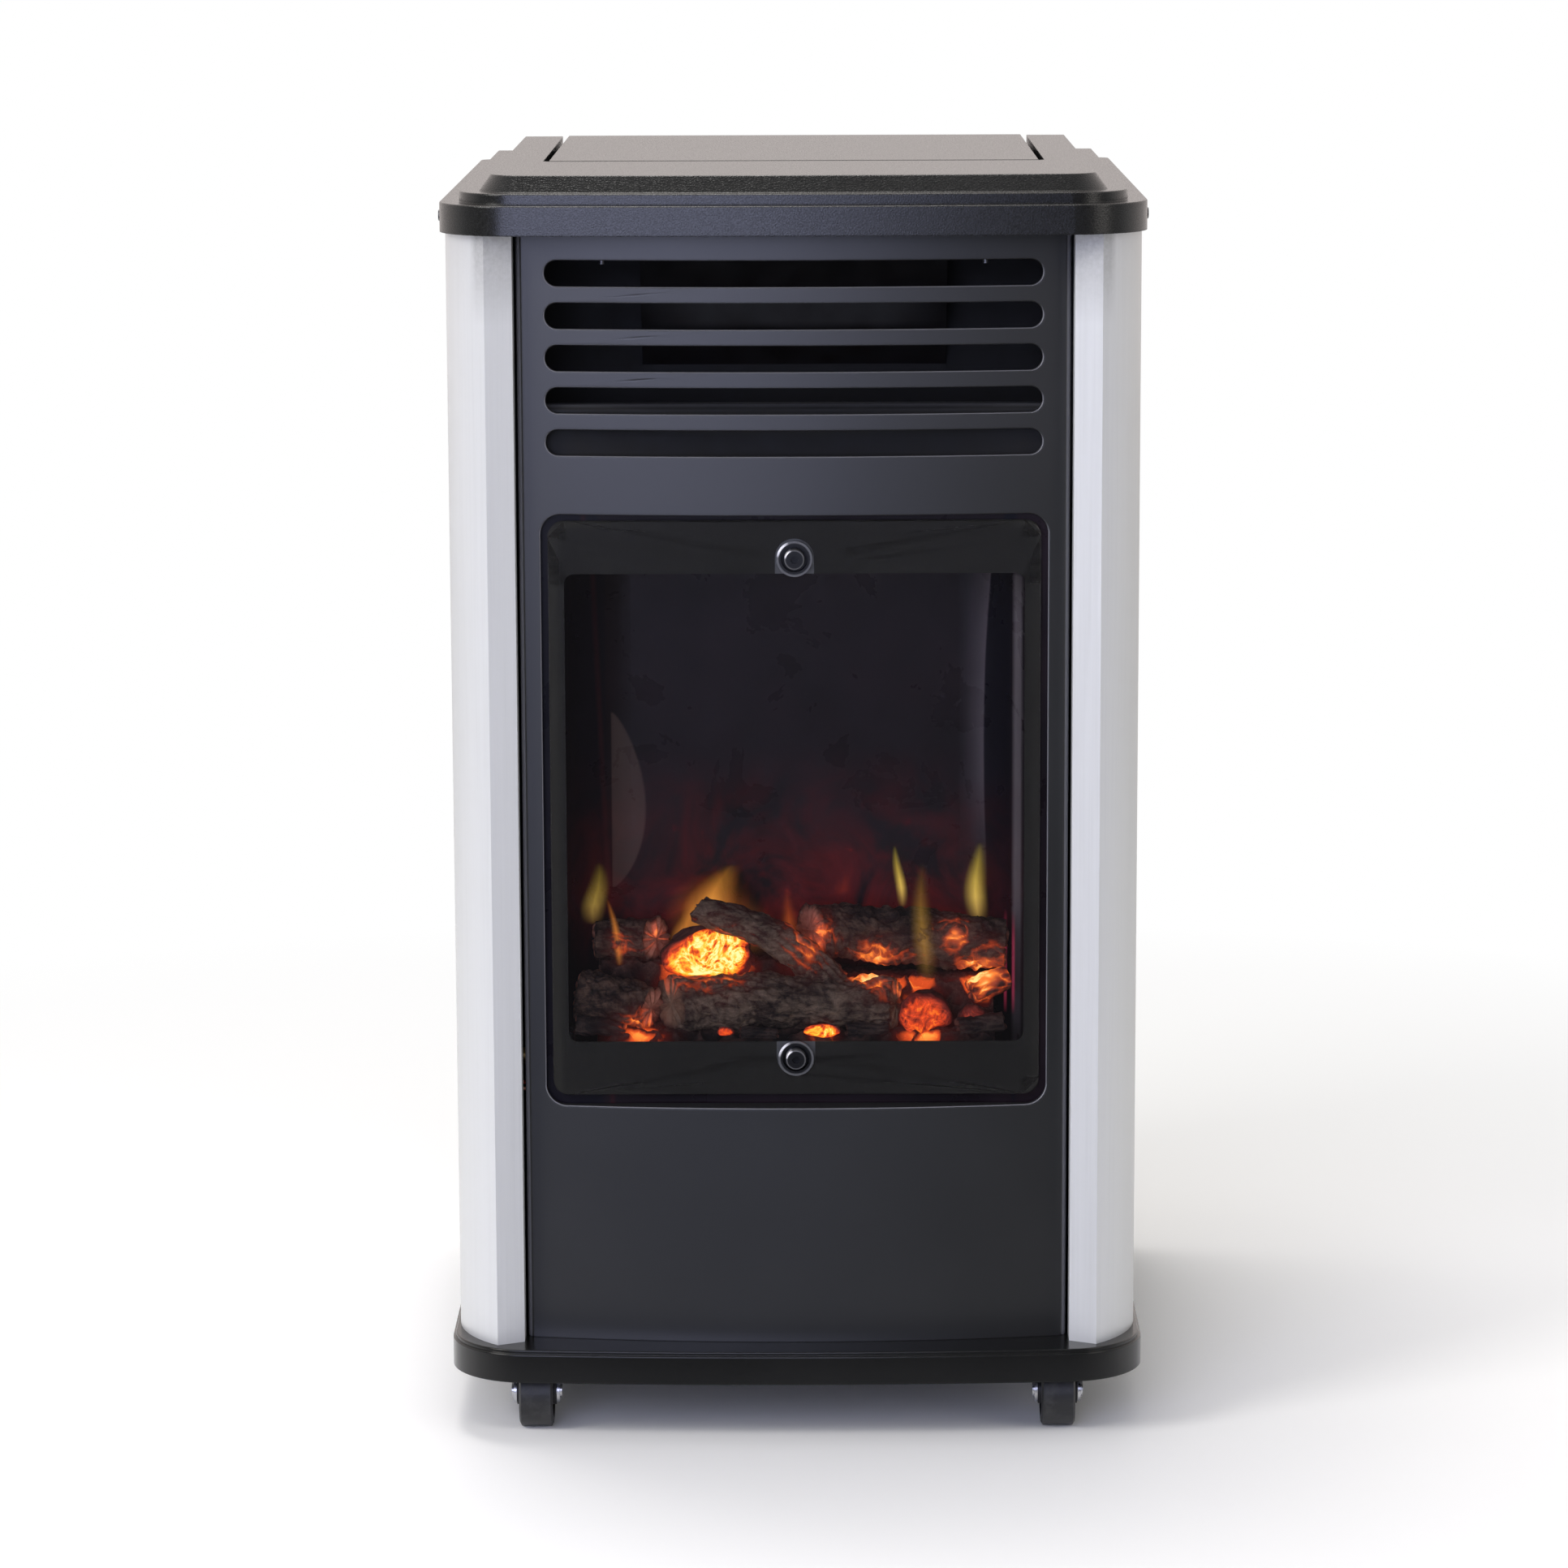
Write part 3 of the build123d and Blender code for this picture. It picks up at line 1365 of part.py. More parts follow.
with BuildPart() as door_hinges:
    with BuildSketch(Plane.XY.offset(base_top)):
        with Locations((door_pin_x, door_pin_y)):
            Circle(door_pin_radius)
    extrude(amount=door_pin_reach)
    with BuildSketch(Plane.XY.offset(base_top)):
        with Locations((door_pin_x, door_pin_y)):
            Circle(door_shoulder_radius)
    extrude(amount=door_gap - 2 * pin_gap)
    with BuildSketch(Plane.XY.offset(rim_bottom - door_pin_reach)):
        with Locations((door_pin_x, door_pin_y)):
            Circle(door_pin_radius)
    extrude(amount=door_pin_reach)
    with BuildSketch(Plane.XY.offset(rim_bottom - bracket_sheet)):
        with Locations((inner_half - bracket_length / 2, door_y - sheet - bracket_depth / 2)):
            Rectangle(bracket_length, bracket_depth)
    extrude(amount=bracket_sheet)
save(door_hinges, "door_hinges")

latch_face = door_y + 2 * pin_gap
tongue_back = door_y - sheet - latch_tongue_gap
with BuildPart() as door_latch:
    with BuildSketch(front_view(latch_face + latch_height)):
        with Locations((latch_x, latch_z)):
            Circle(latch_radius)
    extrude(amount=latch_height)
    fillet(door_latch.edges().group_by(Axis.Y)[-1], soft_edge)
    with BuildSketch(front_view(latch_face + latch_height)):
        with Locations((latch_x, latch_z)):
            Rectangle(2 * latch_radius, 2 * latch_radius)
            Rectangle(latch_grip, 2 * latch_radius, mode=Mode.SUBTRACT)
    extrude(amount=latch_grip_height, mode=Mode.SUBTRACT)
    with BuildSketch(front_view(latch_face)):
        with Locations((latch_x, latch_z)):
            Circle(latch_shaft_radius)
    extrude(amount=latch_face - tongue_back)
    with BuildSketch(front_view(tongue_back)):
        with Locations((latch_x, latch_z)):
            Circle(latch_tongue_width / 2)
        with Locations((latch_x, latch_z - latch_tongue / 2)):
            Rectangle(latch_tongue_width, latch_tongue)
    extrude(amount=pressed_sheet)
save(door_latch, "door_latch")

# ---- Casters: a plate with a king pin, a fork that swivels under it and a wheel that rolls on the axle ----
plate_bottom = base_top - pressed_sheet - caster_plate_height
race_bottom = plate_bottom - race_height
crown_top = race_bottom - swivel_gap
crown_bottom = crown_top - pressed_sheet
king_head_top = crown_bottom - swivel_gap
caster_half_base = base_depth / 2 - caster_end_inset
caster_places = {
    "front_left": (-caster_half_track, -caster_half_base),
    "front_right": (caster_half_track, -caster_half_base),
    "rear_left": (-caster_half_track, caster_half_base),
    "rear_right": (caster_half_track, caster_half_base),
}
with BuildPart() as caster_plates:
    for centre in caster_places.values():
        with BuildSketch(Plane.XY.offset(plate_bottom)):
            with Locations(centre):
                RectangleRounded(caster_plate_side, caster_plate_side, king_pin_radius)
        extrude(amount=caster_plate_height)
        with BuildSketch(Plane.XY.offset(plate_bottom)):
            with Locations(centre):
                Circle(race_radius)
        extrude(amount=-race_height)
        with BuildSketch(Plane.XY.offset(plate_bottom)):
            with Locations(centre):
                Circle(king_pin_radius)
        extrude(amount=king_head_top - plate_bottom)
        with BuildSketch(Plane.XY.offset(king_head_top)):
            with Locations(centre):
                Circle(king_head_radius)
        extrude(amount=-king_head_height)
save(caster_plates, "caster_plates")

leg_inner = hub_width / 2 + fork_leg_gap
leg_outer = leg_inner + fork_sheet
for name, (king_x, king_y) in caster_places.items():
    axle_y = king_y - caster_trail
    crown_middle = king_y + (fork_crown_behind - fork_crown_ahead) / 2
    with BuildPart() as fork:
        with BuildSketch(Plane.XY.offset(crown_bottom)):
            with Locations((king_x, crown_middle)):
                RectangleRounded(2 * leg_outer, fork_crown_ahead + fork_crown_behind, king_pin_radius)
        extrude(amount=pressed_sheet)
        for side in (-1, 1):
            with BuildSketch(side_view(king_x + side * leg_outer)):
                with Locations((crown_middle, crown_top - pressed_sheet)):
                    Rectangle(fork_crown_ahead + fork_crown_behind - 2 * king_pin_radius, 2 * pressed_sheet)
                with Locations((axle_y, wheel_radius)):
                    Circle(fork_leg_radius)
                make_hull()
            extrude(amount=-side * fork_sheet)
            with BuildSketch(side_view(king_x + side * leg_outer)):
                with Locations((axle_y, wheel_radius)):
                    Circle(axle_head_radius)
            extrude(amount=side * axle_head_height)
        with BuildSketch(Plane.XY.offset(crown_top)):
            with Locations((king_x, king_y)):
                Circle(king_pin_radius + pin_gap)
        extrude(amount=-pressed_sheet, mode=Mode.SUBTRACT)
        with BuildSketch(side_view(king_x - leg_outer)):
            with Locations((axle_y, wheel_radius)):
                Circle(axle_radius)
        extrude(amount=2 * leg_outer)
    save(fork, f"caster_fork_{name}")

    with BuildPart() as wheel:
        with BuildSketch(Plane(origin=(king_x, axle_y, wheel_radius), x_dir=(1, 0, 0), z_dir=(0, -1, 0))):
            with BuildLine():
                Polyline(
                    (-hub_width / 2, axle_radius + pin_gap),
                    (hub_width / 2, axle_radius + pin_gap),
                    (hub_width / 2, hub_radius),
                    (wheel_web / 2, hub_radius),
                    (wheel_web / 2, wheel_rim_radius),
                    (wheel_width / 2, wheel_rim_radius),
                    (wheel_width / 2, wheel_shoulder_radius),
                    (wheel_floor_width / 2, wheel_radius),
                    (-wheel_floor_width / 2, wheel_radius),
                    (-wheel_width / 2, wheel_shoulder_radius),
                    (-wheel_width / 2, wheel_rim_radius),
                    (-wheel_web / 2, wheel_rim_radius),
                    (-wheel_web / 2, hub_radius),
                    (-hub_width / 2, hub_radius),
                    close=True,
                )
            make_face()
        revolve(axis=Axis((king_x, axle_y, wheel_radius), (1, 0, 0)))
    save(wheel, f"caster_wheel_{name}")
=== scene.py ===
import bpy
import math
import numpy as np
from mathutils import Matrix, Vector


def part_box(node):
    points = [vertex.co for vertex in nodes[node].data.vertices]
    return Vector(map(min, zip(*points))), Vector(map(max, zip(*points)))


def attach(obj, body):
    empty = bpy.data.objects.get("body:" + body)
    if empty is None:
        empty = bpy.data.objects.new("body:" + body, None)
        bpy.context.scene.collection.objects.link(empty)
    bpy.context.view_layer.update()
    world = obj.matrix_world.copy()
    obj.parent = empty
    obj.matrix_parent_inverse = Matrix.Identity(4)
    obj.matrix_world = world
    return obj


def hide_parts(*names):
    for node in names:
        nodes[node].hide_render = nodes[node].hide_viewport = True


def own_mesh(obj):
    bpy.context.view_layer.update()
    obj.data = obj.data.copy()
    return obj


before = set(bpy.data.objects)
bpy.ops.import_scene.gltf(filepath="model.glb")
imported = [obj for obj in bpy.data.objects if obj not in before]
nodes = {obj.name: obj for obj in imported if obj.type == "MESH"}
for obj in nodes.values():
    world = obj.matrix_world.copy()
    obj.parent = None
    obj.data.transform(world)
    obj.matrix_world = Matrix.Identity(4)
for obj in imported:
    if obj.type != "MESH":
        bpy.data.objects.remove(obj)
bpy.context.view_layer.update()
scene = bpy.context.scene
scene.view_settings.view_transform = "Standard"
print("stage: frame loaded")

# ---- camera, floor and light ----
view = {
    "place": (0.00868, -3.43611, 0.98458),
    "turn": -0.275,    # degrees to the right of straight ahead
    "down": 10.063,    # degrees below the horizon
    "roll": -0.211,    # degrees
    "lens": 122.42, "sensor": 36,    # mm
    "farthest": 100,
}


def makeCamera():
    turn, down, roll = (math.radians(view[key]) for key in ("turn", "down", "roll"))
    ahead = Vector((math.sin(turn) * math.cos(down), math.cos(turn) * math.cos(down), -math.sin(down)))
    side = Vector((math.cos(turn), -math.sin(turn), 0))
    above = side.cross(ahead)
    right = math.cos(roll) * side + math.sin(roll) * above
    upward = math.cos(roll) * above - math.sin(roll) * side
    axes = Matrix((right, upward, -ahead)).transposed()
    camera = bpy.data.objects.new("camera", bpy.data.cameras.new("camera"))
    camera.data.lens = view["lens"]
    camera.data.sensor_width = view["sensor"]
    camera.data.clip_end = view["farthest"]
    camera.matrix_world = Matrix.Translation(view["place"]) @ axes.to_4x4()
    scene.collection.objects.link(camera)
    scene.camera = camera


class Value:    # one output of a shader node, so that shader maths reads as plain arithmetic
    def __init__(self, finish, socket):
        self.finish, self.socket = finish, socket

    def __add__(self, other): return self.finish.maths("ADD", self, other)
    def __radd__(self, other): return self.finish.maths("ADD", other, self)
    def __sub__(self, other): return self.finish.maths("SUBTRACT", self, other)
    def __rsub__(self, other): return self.finish.maths("SUBTRACT", other, self)
    def __mul__(self, other): return self.finish.maths("MULTIPLY", self, other)
    def __rmul__(self, other): return self.finish.maths("MULTIPLY", other, self)
    def __truediv__(self, other): return self.finish.maths("DIVIDE", self, other)
    def __pow__(self, other): return self.finish.maths("POWER", self, other)


def times(shade, factor):    # a lighter or a darker shade
    return tuple(min(1, c * factor) for c in shade)


class Finish:    # a material that is being written
    def __init__(self, name, tree=None):
        if tree is None:
            self.material = bpy.data.materials.new(name)
            self.material.use_nodes = True
            tree = self.material.node_tree
        self.tree = tree
        self.tree.nodes.clear()

    def node(self, kind, settings=None, inputs=None, output=0):
        made = self.tree.nodes.new(kind)
        for key, value in (settings or {}).items():
            if key == "stops":
                while len(made.color_ramp.elements) < len(value):
                    made.color_ramp.elements.new(0.5)
                for stop, (place, colour) in zip(made.color_ramp.elements, value):
                    stop.position, stop.color = place, (*colour, 1)
            else:
                setattr(made, key, value)
        for key, value in (inputs or {}).items():
            if isinstance(value, Value):
                self.tree.links.new(value.socket, made.inputs[key])
            else:
                made.inputs[key].default_value = value
        return Value(self, made.outputs[output]) if made.outputs else None

    def maths(self, kind, *values):
        return self.node("ShaderNodeMath", {"operation": kind}, dict(enumerate(values)))

    def vector(self, kind, *values, output="Vector"):
        return self.node("ShaderNodeVectorMath", {"operation": kind}, dict(enumerate(values)), output)

    def ray(self, kind):    # 1 for a ray of this kind, otherwise 0
        return self.node("ShaderNodeLightPath", output=kind)

    def point(self):
        return self.node("ShaderNodeTexCoord", output="Object")

    def part(self, vector, which):    # its x, y or z
        return self.node("ShaderNodeSeparateXYZ", None, {0: vector}, which)

    def axis(self, which):
        return self.part(self.point(), which)

    def square(self, which):
        return self.axis(which) * self.axis(which)

    def normal(self, kind="True Normal"):
        return self.node("ShaderNodeNewGeometry", output=kind)

    def stretched(self, *scale):
        return self.node("ShaderNodeMapping", None, {"Vector": self.point(), "Scale": scale})

    def noise(self, scale, detail=3.0, rough=0.55, warp=0.0, where=None):
        return self.node("ShaderNodeTexNoise", None, {"Vector": where or self.stretched(1, 1, 1), "Scale": scale,
                                                      "Detail": detail, "Roughness": rough, "Distortion": warp})

    def cells(self, scale, feature="F1"):
        return self.node("ShaderNodeTexVoronoi", {"feature": feature},
                         {"Vector": self.stretched(1, 1, 1), "Scale": scale}, "Distance")

    def ramp(self, factor, stops):
        return self.node("ShaderNodeValToRGB", {"stops": stops}, {"Fac": factor})

    def blend(self, factor, a, b):
        a, b = ((*c, 1) if isinstance(c, tuple) and len(c) == 3 else c for c in (a, b))
        return self.node("ShaderNodeMix", {"data_type": "RGBA"}, {0: factor, 6: a, 7: b}, 2)

    def span(self, value, low, high, out0=0.0, out1=1.0):
        return self.node("ShaderNodeMapRange", {"clamp": True}, {0: value, 1: low, 2: high, 3: out0, 4: out1})

    def vary(self, noise, low=0.0, high=1.0):    # a noise keeps near its middle, and this opens it out
        return self.span(noise, 0.3, 0.7, low, high)

    def between(self, value, a, b, c, d):    # rises from 0 to 1 from a to b, and falls back from c to d
        return self.span(value, a, b) * self.span(value, d, c)

    def clamp(self, value):
        return self.node("ShaderNodeClamp", None, {0: value})

    def relief(self, height, depth, strength, under=None):
        sockets = {"Height": height, "Distance": depth, "Strength": strength}
        if under:
            sockets["Normal"] = under
        return self.node("ShaderNodeBump", None, sockets)

    def softEdge(self, radius, base=None):    # the normal turns gently over an edge, so that the edge catches light
        flat = self.normal("Normal")
        turned = self.node("ShaderNodeBevel", {"samples": 4}, {"Radius": radius})
        if base is None:
            return turned
        return self.vector("NORMALIZE", self.vector("ADD", base, self.vector("SUBTRACT", turned, flat)))

    def own(self, name):    # a value that the mesh carries
        return self.node("ShaderNodeAttribute", {"attribute_name": name}, None, "Fac")

    def done(self, shader):
        self.node("ShaderNodeOutputMaterial", None, {"Surface": shader})
        return self.material

    def coat(self, **sockets):
        words = {"colour": "Base Color", "rough": "Roughness", "metal": "Metallic", "relief": "Normal",
                 "glow": "Emission Color", "glowPower": "Emission Strength", "alpha": "Alpha",
                 "gloss": "Specular IOR Level"}
        given = {words[k]: ((*v, 1) if isinstance(v, tuple) and len(v) == 3 else v) for k, v in sockets.items()}
        return self.done(self.node("ShaderNodeBsdfPrincipled", None, given))


def dress(material, *names):
    for name in names:
        for place in nodes[name].material_slots:
            place.material = material


studio = {
    "worldFront": 0.08,    # what glossy faces see in front of the object
    "worldBack": 1.06,    # and behind it, a little warm
    "worldTurn": (-0.5, 0.45),
    "worldWarm": (1.0, 0.915, 0.885),
    "worldFill": 0.42,    # light from all round
    "floorRadius": 6, "floorCorners": 96,
    "floorShade": (0.965, 0.963, 0.955),
    "floorFade": (0.44, 1.40),    # distances over which the floor turns white
    "floorGloss": 0.10,    # the floor in front, as glossy faces see it
    "floorGlossShade": (0.9, 0.95, 1),
    "floorGlossFrom": (-0.21, -0.45),
    "lamps": {    # place, width, height, power, colour, aim
        "frontSoftbox": ((-0.85, -3.25, 1.17), 2.1, 1.64, 50, (0.65, 0.69, 1.0), (-0.75, 0, 1.0)),
        "leftKey": ((-2.5, -2.0, 2.1), 1.2, 1.2, 58, (1.0, 0.98, 0.95), (0, 0, 0.4)),
        "rightFill": ((2.3, -1.9, 1.3), 1.0, 1.4, 12, (1.0, 0.95, 0.90), (0, 0, 0.4)),
        "rimStrip": ((-0.4, -2.3, 2.7), 2.4, 0.14, 12, (1.0, 0.98, 0.96), (0, -0.2, 0.7)),
        "overhead": ((-0.3, 0.45, 2.9), 1.1, 1.1, 35, (1.0, 0.97, 0.94), (0, 0, 0.5)),
    },
}


def makeWorld():
    world = bpy.data.worlds.new("studio")
    world.use_nodes = True
    scene.world = world
    sky = Finish("sky", world.node_tree)
    glossy = sky.ray("Is Glossy Ray")
    back = sky.part(sky.node("ShaderNodeTexCoord", output="Generated"), 1)
    level = sky.span(back, *studio["worldTurn"], studio["worldFront"], studio["worldBack"])
    strength = glossy * level + (1 - glossy) * studio["worldFill"]
    white = sky.clamp(sky.ray("Is Camera Ray") + sky.ray("Is Transmission Ray"))
    warm = sky.blend(glossy * sky.span(back, 0.0, 0.4), (1, 1, 1), studio["worldWarm"])
    shader = sky.node("ShaderNodeBackground", None, {0: warm, 1: white + (1 - white) * strength})
    sky.node("ShaderNodeOutputWorld", None, {"Surface": shader})


def circle(around):
    return np.linspace(0, 2 * math.pi, around, endpoint=False)


def makeFloor():
    floorMesh = bpy.data.meshes.new("floor")
    turn = circle(studio["floorCorners"])
    ring = np.stack([np.cos(turn), np.sin(turn), 0 * turn], 1) * studio["floorRadius"]
    floorMesh.from_pydata(ring.tolist(), [], [list(range(len(ring)))])
    floor = bpy.data.objects.new("floor", floorMesh)
    scene.collection.objects.link(floor)
    look = Finish("paleFloor")
    away = look.vector("LENGTH", look.point(), output="Value")
    fade = look.span(away, *studio["floorFade"]) * look.ray("Is Camera Ray")
    ground = look.node("ShaderNodeBsdfPrincipled", None,
                       {"Base Color": (*studio["floorShade"], 1), "Roughness": 0.6, "Specular IOR Level": 0.2})
    white = look.node("ShaderNodeEmission", None, {0: (1, 1, 1, 1), 1: 1.0})
    dim = look.node("ShaderNodeEmission", None, {0: (*studio["floorGlossShade"], 1), 1: studio["floorGloss"]})
    front = look.span(look.axis(1), *studio["floorGlossFrom"]) * look.ray("Is Glossy Ray")
    floorLook = look.node("ShaderNodeMixShader", None, {0: front, 1: ground, 2: dim})
    floorMesh.materials.append(look.done(look.node("ShaderNodeMixShader", None, {0: fade, 1: floorLook, 2: white})))


def makeLamps():
    for name, (place, width, height, power, colour, aim) in studio["lamps"].items():
        lamp = bpy.data.lights.new(name, "AREA")
        lamp.shape, lamp.size, lamp.size_y, lamp.energy, lamp.color = "RECTANGLE", width, height, power, colour
        made = bpy.data.objects.new(name, lamp)
        made.location = place
        made.rotation_euler = (Vector(aim) - Vector(place)).to_track_quat("-Z", "Y").to_euler()
        made.visible_camera = False
        scene.collection.objects.link(made)


makeCamera()
makeWorld()
makeFloor()
makeLamps()
print("stage: camera, floor and light")

# ---- painted sheet ----
powder = {
    "colour": (0.0046, 0.0046, 0.0045),
    "grain": 900,    # per metre, as every such pitch below
    "roughness": 0.255,
    "depth": 0.00021,
    "edge": 0.0011,    # radius over which edges look rounded
    "dustAcross": (-0.0048, -0.0030, 0.0022, 0.0040),    # the dusty band, from the flap's front edge
    "dustHeight": (0.775, 0.78),
    "dustHalfSquared": (0.0246, 0.0240),
    "dustRough": 0.55,
}
satin = {
    "colour": (0.0058, 0.0057, 0.0054),
    "roughness": 0.40,
    "peel": 260,
    "dust": 1800,
    # painted highlight on the rolled edges
    "rolledEdgeHighlight": (0.16, 0.16, 0.18),
    "bowCentre": 0.7816,
    "bowRadius": 1.0,
    "bowSkin": (-0.0016, -0.0013),    # the outer face, from the radius
    "edge": 0.0009,
}
silver = {
    "colour": (0.582, 0.588, 0.588),
    "streaks": 620,
    "roughness": 0.40,
    "metal": 0.25,
    # painted shadow under the rim of the top cap: its colour, and the heights over which it sets in
    "rimShadow": (0.20, 0.195, 0.19),
    "rimShadowHeight": (0.695, 0.752),
    "innerHalfSquared": (0.0380, 0.0366),
}


def powderFinish(name="powderCoat", gloss=0.55, smoother=0.0):
    f = Finish(name)
    grain = f.noise(powder["grain"], 2.0, 0.6)
    creases = f.cells(powder["grain"] * 0.75, "DISTANCE_TO_EDGE")
    leather = f.span(creases, 0.0, 0.25) * 0.6 + grain * 0.5
    cloud = f.noise(7, 4)
    colour = f.blend(f.span(cloud, 0.35, 0.7), powder["colour"], times(powder["colour"], 1.5))
    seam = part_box("control_flap")[0][1]
    dusty = f.between(f.axis(1), *(seam + y for y in powder["dustAcross"]))
    dusty = dusty * f.span(f.axis(2), *powder["dustHeight"]) * f.span(f.square(0), *powder["dustHalfSquared"])
    worn = f.vary(grain, powder["roughness"] - 0.05, powder["roughness"] + 0.07)
    rough = worn + dusty * powder["dustRough"] - smoother
    # the leather grain is weaker on upright faces
    rise = f.part(f.normal(), 2)
    leather = leather * f.span(rise, 0.2, 0.5, 0.30, 1.0) * (0.2 if smoother else 1.0)
    relief = f.relief(leather, powder["depth"], 0.5, f.softEdge(powder["edge"]))
    return f.coat(colour=colour, rough=rough, relief=relief, gloss=gloss)


def satinFinish():
    f = Finish("satinBlack")
    peel, dust, cloud = f.noise(satin["peel"], 2.0), f.noise(satin["dust"], 1.0), f.noise(5, 3)
    colour = f.blend(f.vary(cloud), satin["colour"], times(satin["colour"], 1.25))
    rough = satin["roughness"] + f.vary(cloud, -0.02, 0.03) + f.span(dust, 0.55, 0.8, 0, 0.05)
    # the bowed face's own direction: away from the bow's centre line
    depth = f.axis(1) - satin["bowCentre"]
    bow = f.vector("NORMALIZE", f.node("ShaderNodeCombineXYZ", None, {0: f.axis(0), 1: depth, 2: 0.0}))
    facing = f.vector("DOT_PRODUCT", f.normal(), bow, output="Value")
    reach = (f.square(0) + depth * depth) ** 0.5
    share = f.span(facing, 0.88, 0.90) * f.span(reach, *(satin["bowRadius"] + d for d in satin["bowSkin"]))
    smooth = f.node("ShaderNodeMix", {"data_type": "VECTOR"}, {0: share, 4: f.normal("Normal"), 5: bow}, 1)
    # the rolled edges that face up or sideways get a painted highlight
    rolled = f.between(facing, 0.10, 0.30, 0.80, 0.86) * f.span(f.part(f.normal(), 2), -0.45, -0.05)
    colour = f.blend(rolled * 0.8, colour, satin["rolledEdgeHighlight"])
    relief = f.relief(peel, 0.00010, 0.2, f.softEdge(satin["edge"], smooth))
    return f.coat(colour=colour, rough=rough, relief=relief, gloss=0.85)


def silverFinish():
    f = Finish("silverPaint")
    streak = f.noise(silver["streaks"], 3.0, 0.65, where=f.stretched(1, 1, 0.012))
    broad = f.noise(90, 2.0, where=f.stretched(1, 1, 0.02))
    speck = f.noise(2400, 1.0)
    shade = silver["colour"]
    colour = f.ramp(streak * 0.65 + broad * 0.35,
                    [(0.30, times(shade, 0.95)), (0.5, shade), (0.72, times(shade, 1.03))])
    # painted shadow under the rim of the top cap, blotchy, stronger on the inner front strips
    inner = f.span(f.square(0), *silver["innerHalfSquared"])
    blotch = f.span(f.noise(330, 4, 0.7), 0.25, 0.65, 0.6, 1.0)
    rimShadow = f.span(f.axis(2), *silver["rimShadowHeight"]) * blotch * (0.15 + inner * 0.60)
    colour = f.blend(rimShadow, colour, silver["rimShadow"])
    rough = f.vary(streak, silver["roughness"] - 0.06, silver["roughness"] + 0.08)
    return f.coat(colour=colour, rough=rough, metal=silver["metal"],
                  relief=f.relief(streak * 0.7 + speck * 0.3, 0.00006, 0.35))


# ---- bright metal, brass, plastic and enamel ----
shades = {    # colour and roughness of each plain finish
    "zincPlate": ((0.66, 0.66, 0.67), 0.24),
    "blackZinc": ((0.10, 0.10, 0.105), 0.3),
    "dullZinc": ((0.30, 0.30, 0.31), 0.45),
    "turnedBrass": ((0.66, 0.46, 0.18), 0.28),
    "castBrass": ((0.58, 0.42, 0.20), 0.42),
    "drawnCopper": ((0.70, 0.33, 0.20), 0.28),
    "siliconeJacket": ((0.42, 0.05, 0.03), 0.5),
    "blackMoulding": ((0.014, 0.014, 0.015), 0.45),
    "redMoulding": ((0.42, 0.02, 0.015), 0.22),
}


def zincFinish(name):
    f = Finish(name)
    shade, rough = shades[name]
    bloom, cloud = f.cells(55), f.noise(130, 4, 0.6)
    colour = f.blend(f.clamp(bloom * 0.5 + cloud * 0.6), times(shade, 0.78), times(shade, 1.12))
    return f.coat(colour=colour, metal=1.0, rough=f.vary(cloud, rough, rough + 0.1),
                  relief=f.relief(f.noise(900, 2), 0.00005, 0.3))


def brassFinish(name):
    f = Finish(name)
    shade, rough = shades[name]
    rings = f.noise(1400, 2, where=f.stretched(1, 0.1, 1))
    tarnish = f.noise(70, 4, 0.6)
    colour = f.blend(f.span(tarnish, 0.45, 0.75), shade, tuple(c * s for c, s in zip(shade, (0.55, 0.45, 0.4))))
    return f.coat(colour=colour, metal=1.0, rough=f.vary(tarnish, rough, rough + 0.16),
                  relief=f.relief(rings, 0.00005, 0.3))


def plasticFinish(name):
    f = Finish(name)
    shade, rough = shades[name]
    tone, scuff = f.noise(900, 2), f.noise(60, 3)
    colour = f.blend(f.span(scuff, 0.4, 0.75), shade, tuple(min(1, c * 1.3 + 0.004) for c in shade))
    return f.coat(colour=colour, rough=f.vary(tone, rough - 0.05, rough + 0.07),
                  relief=f.relief(tone, 0.00008, 0.35))


enamel = {
    "dark": (0.0045, 0.0028, 0.0045),
    "light": (0.016, 0.008, 0.012),
    "roughness": 0.24,
    "glowPower": 0.16,
    # where painted firelight falls on the back wall; the marks below are painted reflections and painted glow
    "firelightHeight": (0.27, 0.31, 0.325, 0.42),
    "firelightAcross": (-0.15, -0.05, 0.05, 0.15),
    "moonShade": (0.062, 0.040, 0.034), "moonHeight": (0.3275, 0.441), "moonSide": -0.1165, "moonWidth": 0.0245,
    "leftBandShade": (0.0042, 0.0040, 0.0085), "leftBandAcross": (-0.1185, -0.1215),
    "redLineShade": (0.040, 0.008, 0.010), "redLineAcross": (-0.1245, -0.1225, -0.1215, -0.1195),
    "sheenShade": (0.095, 0.080, 0.088), "sheenWidth": 0.017, "sheenHeight": (0.33, 0.40),
    "rightBandShade": (0.0045, 0.0045, 0.0095), "rightBandSides": (0.1185, 0.1345, 0.1375),
    "paleShade": (0.200, 0.175, 0.170), "paleAcross": (0.1362, 0.1385, 0.1415, 0.1432), "paleFoot": (0.23, 0.30),
    "streakGlow": (1.4, 0.10, 0.28), "streakHeight": (0.248, 0.262, 0.295, 0.315),
    "streaks": ((0.1318, 0.1326, 0.1334, 0.1342), (0.1366, 0.1374, 0.1382, 0.1390)),
    "shownHeight": (0.226, 0.229, 0.529, 0.532),
}


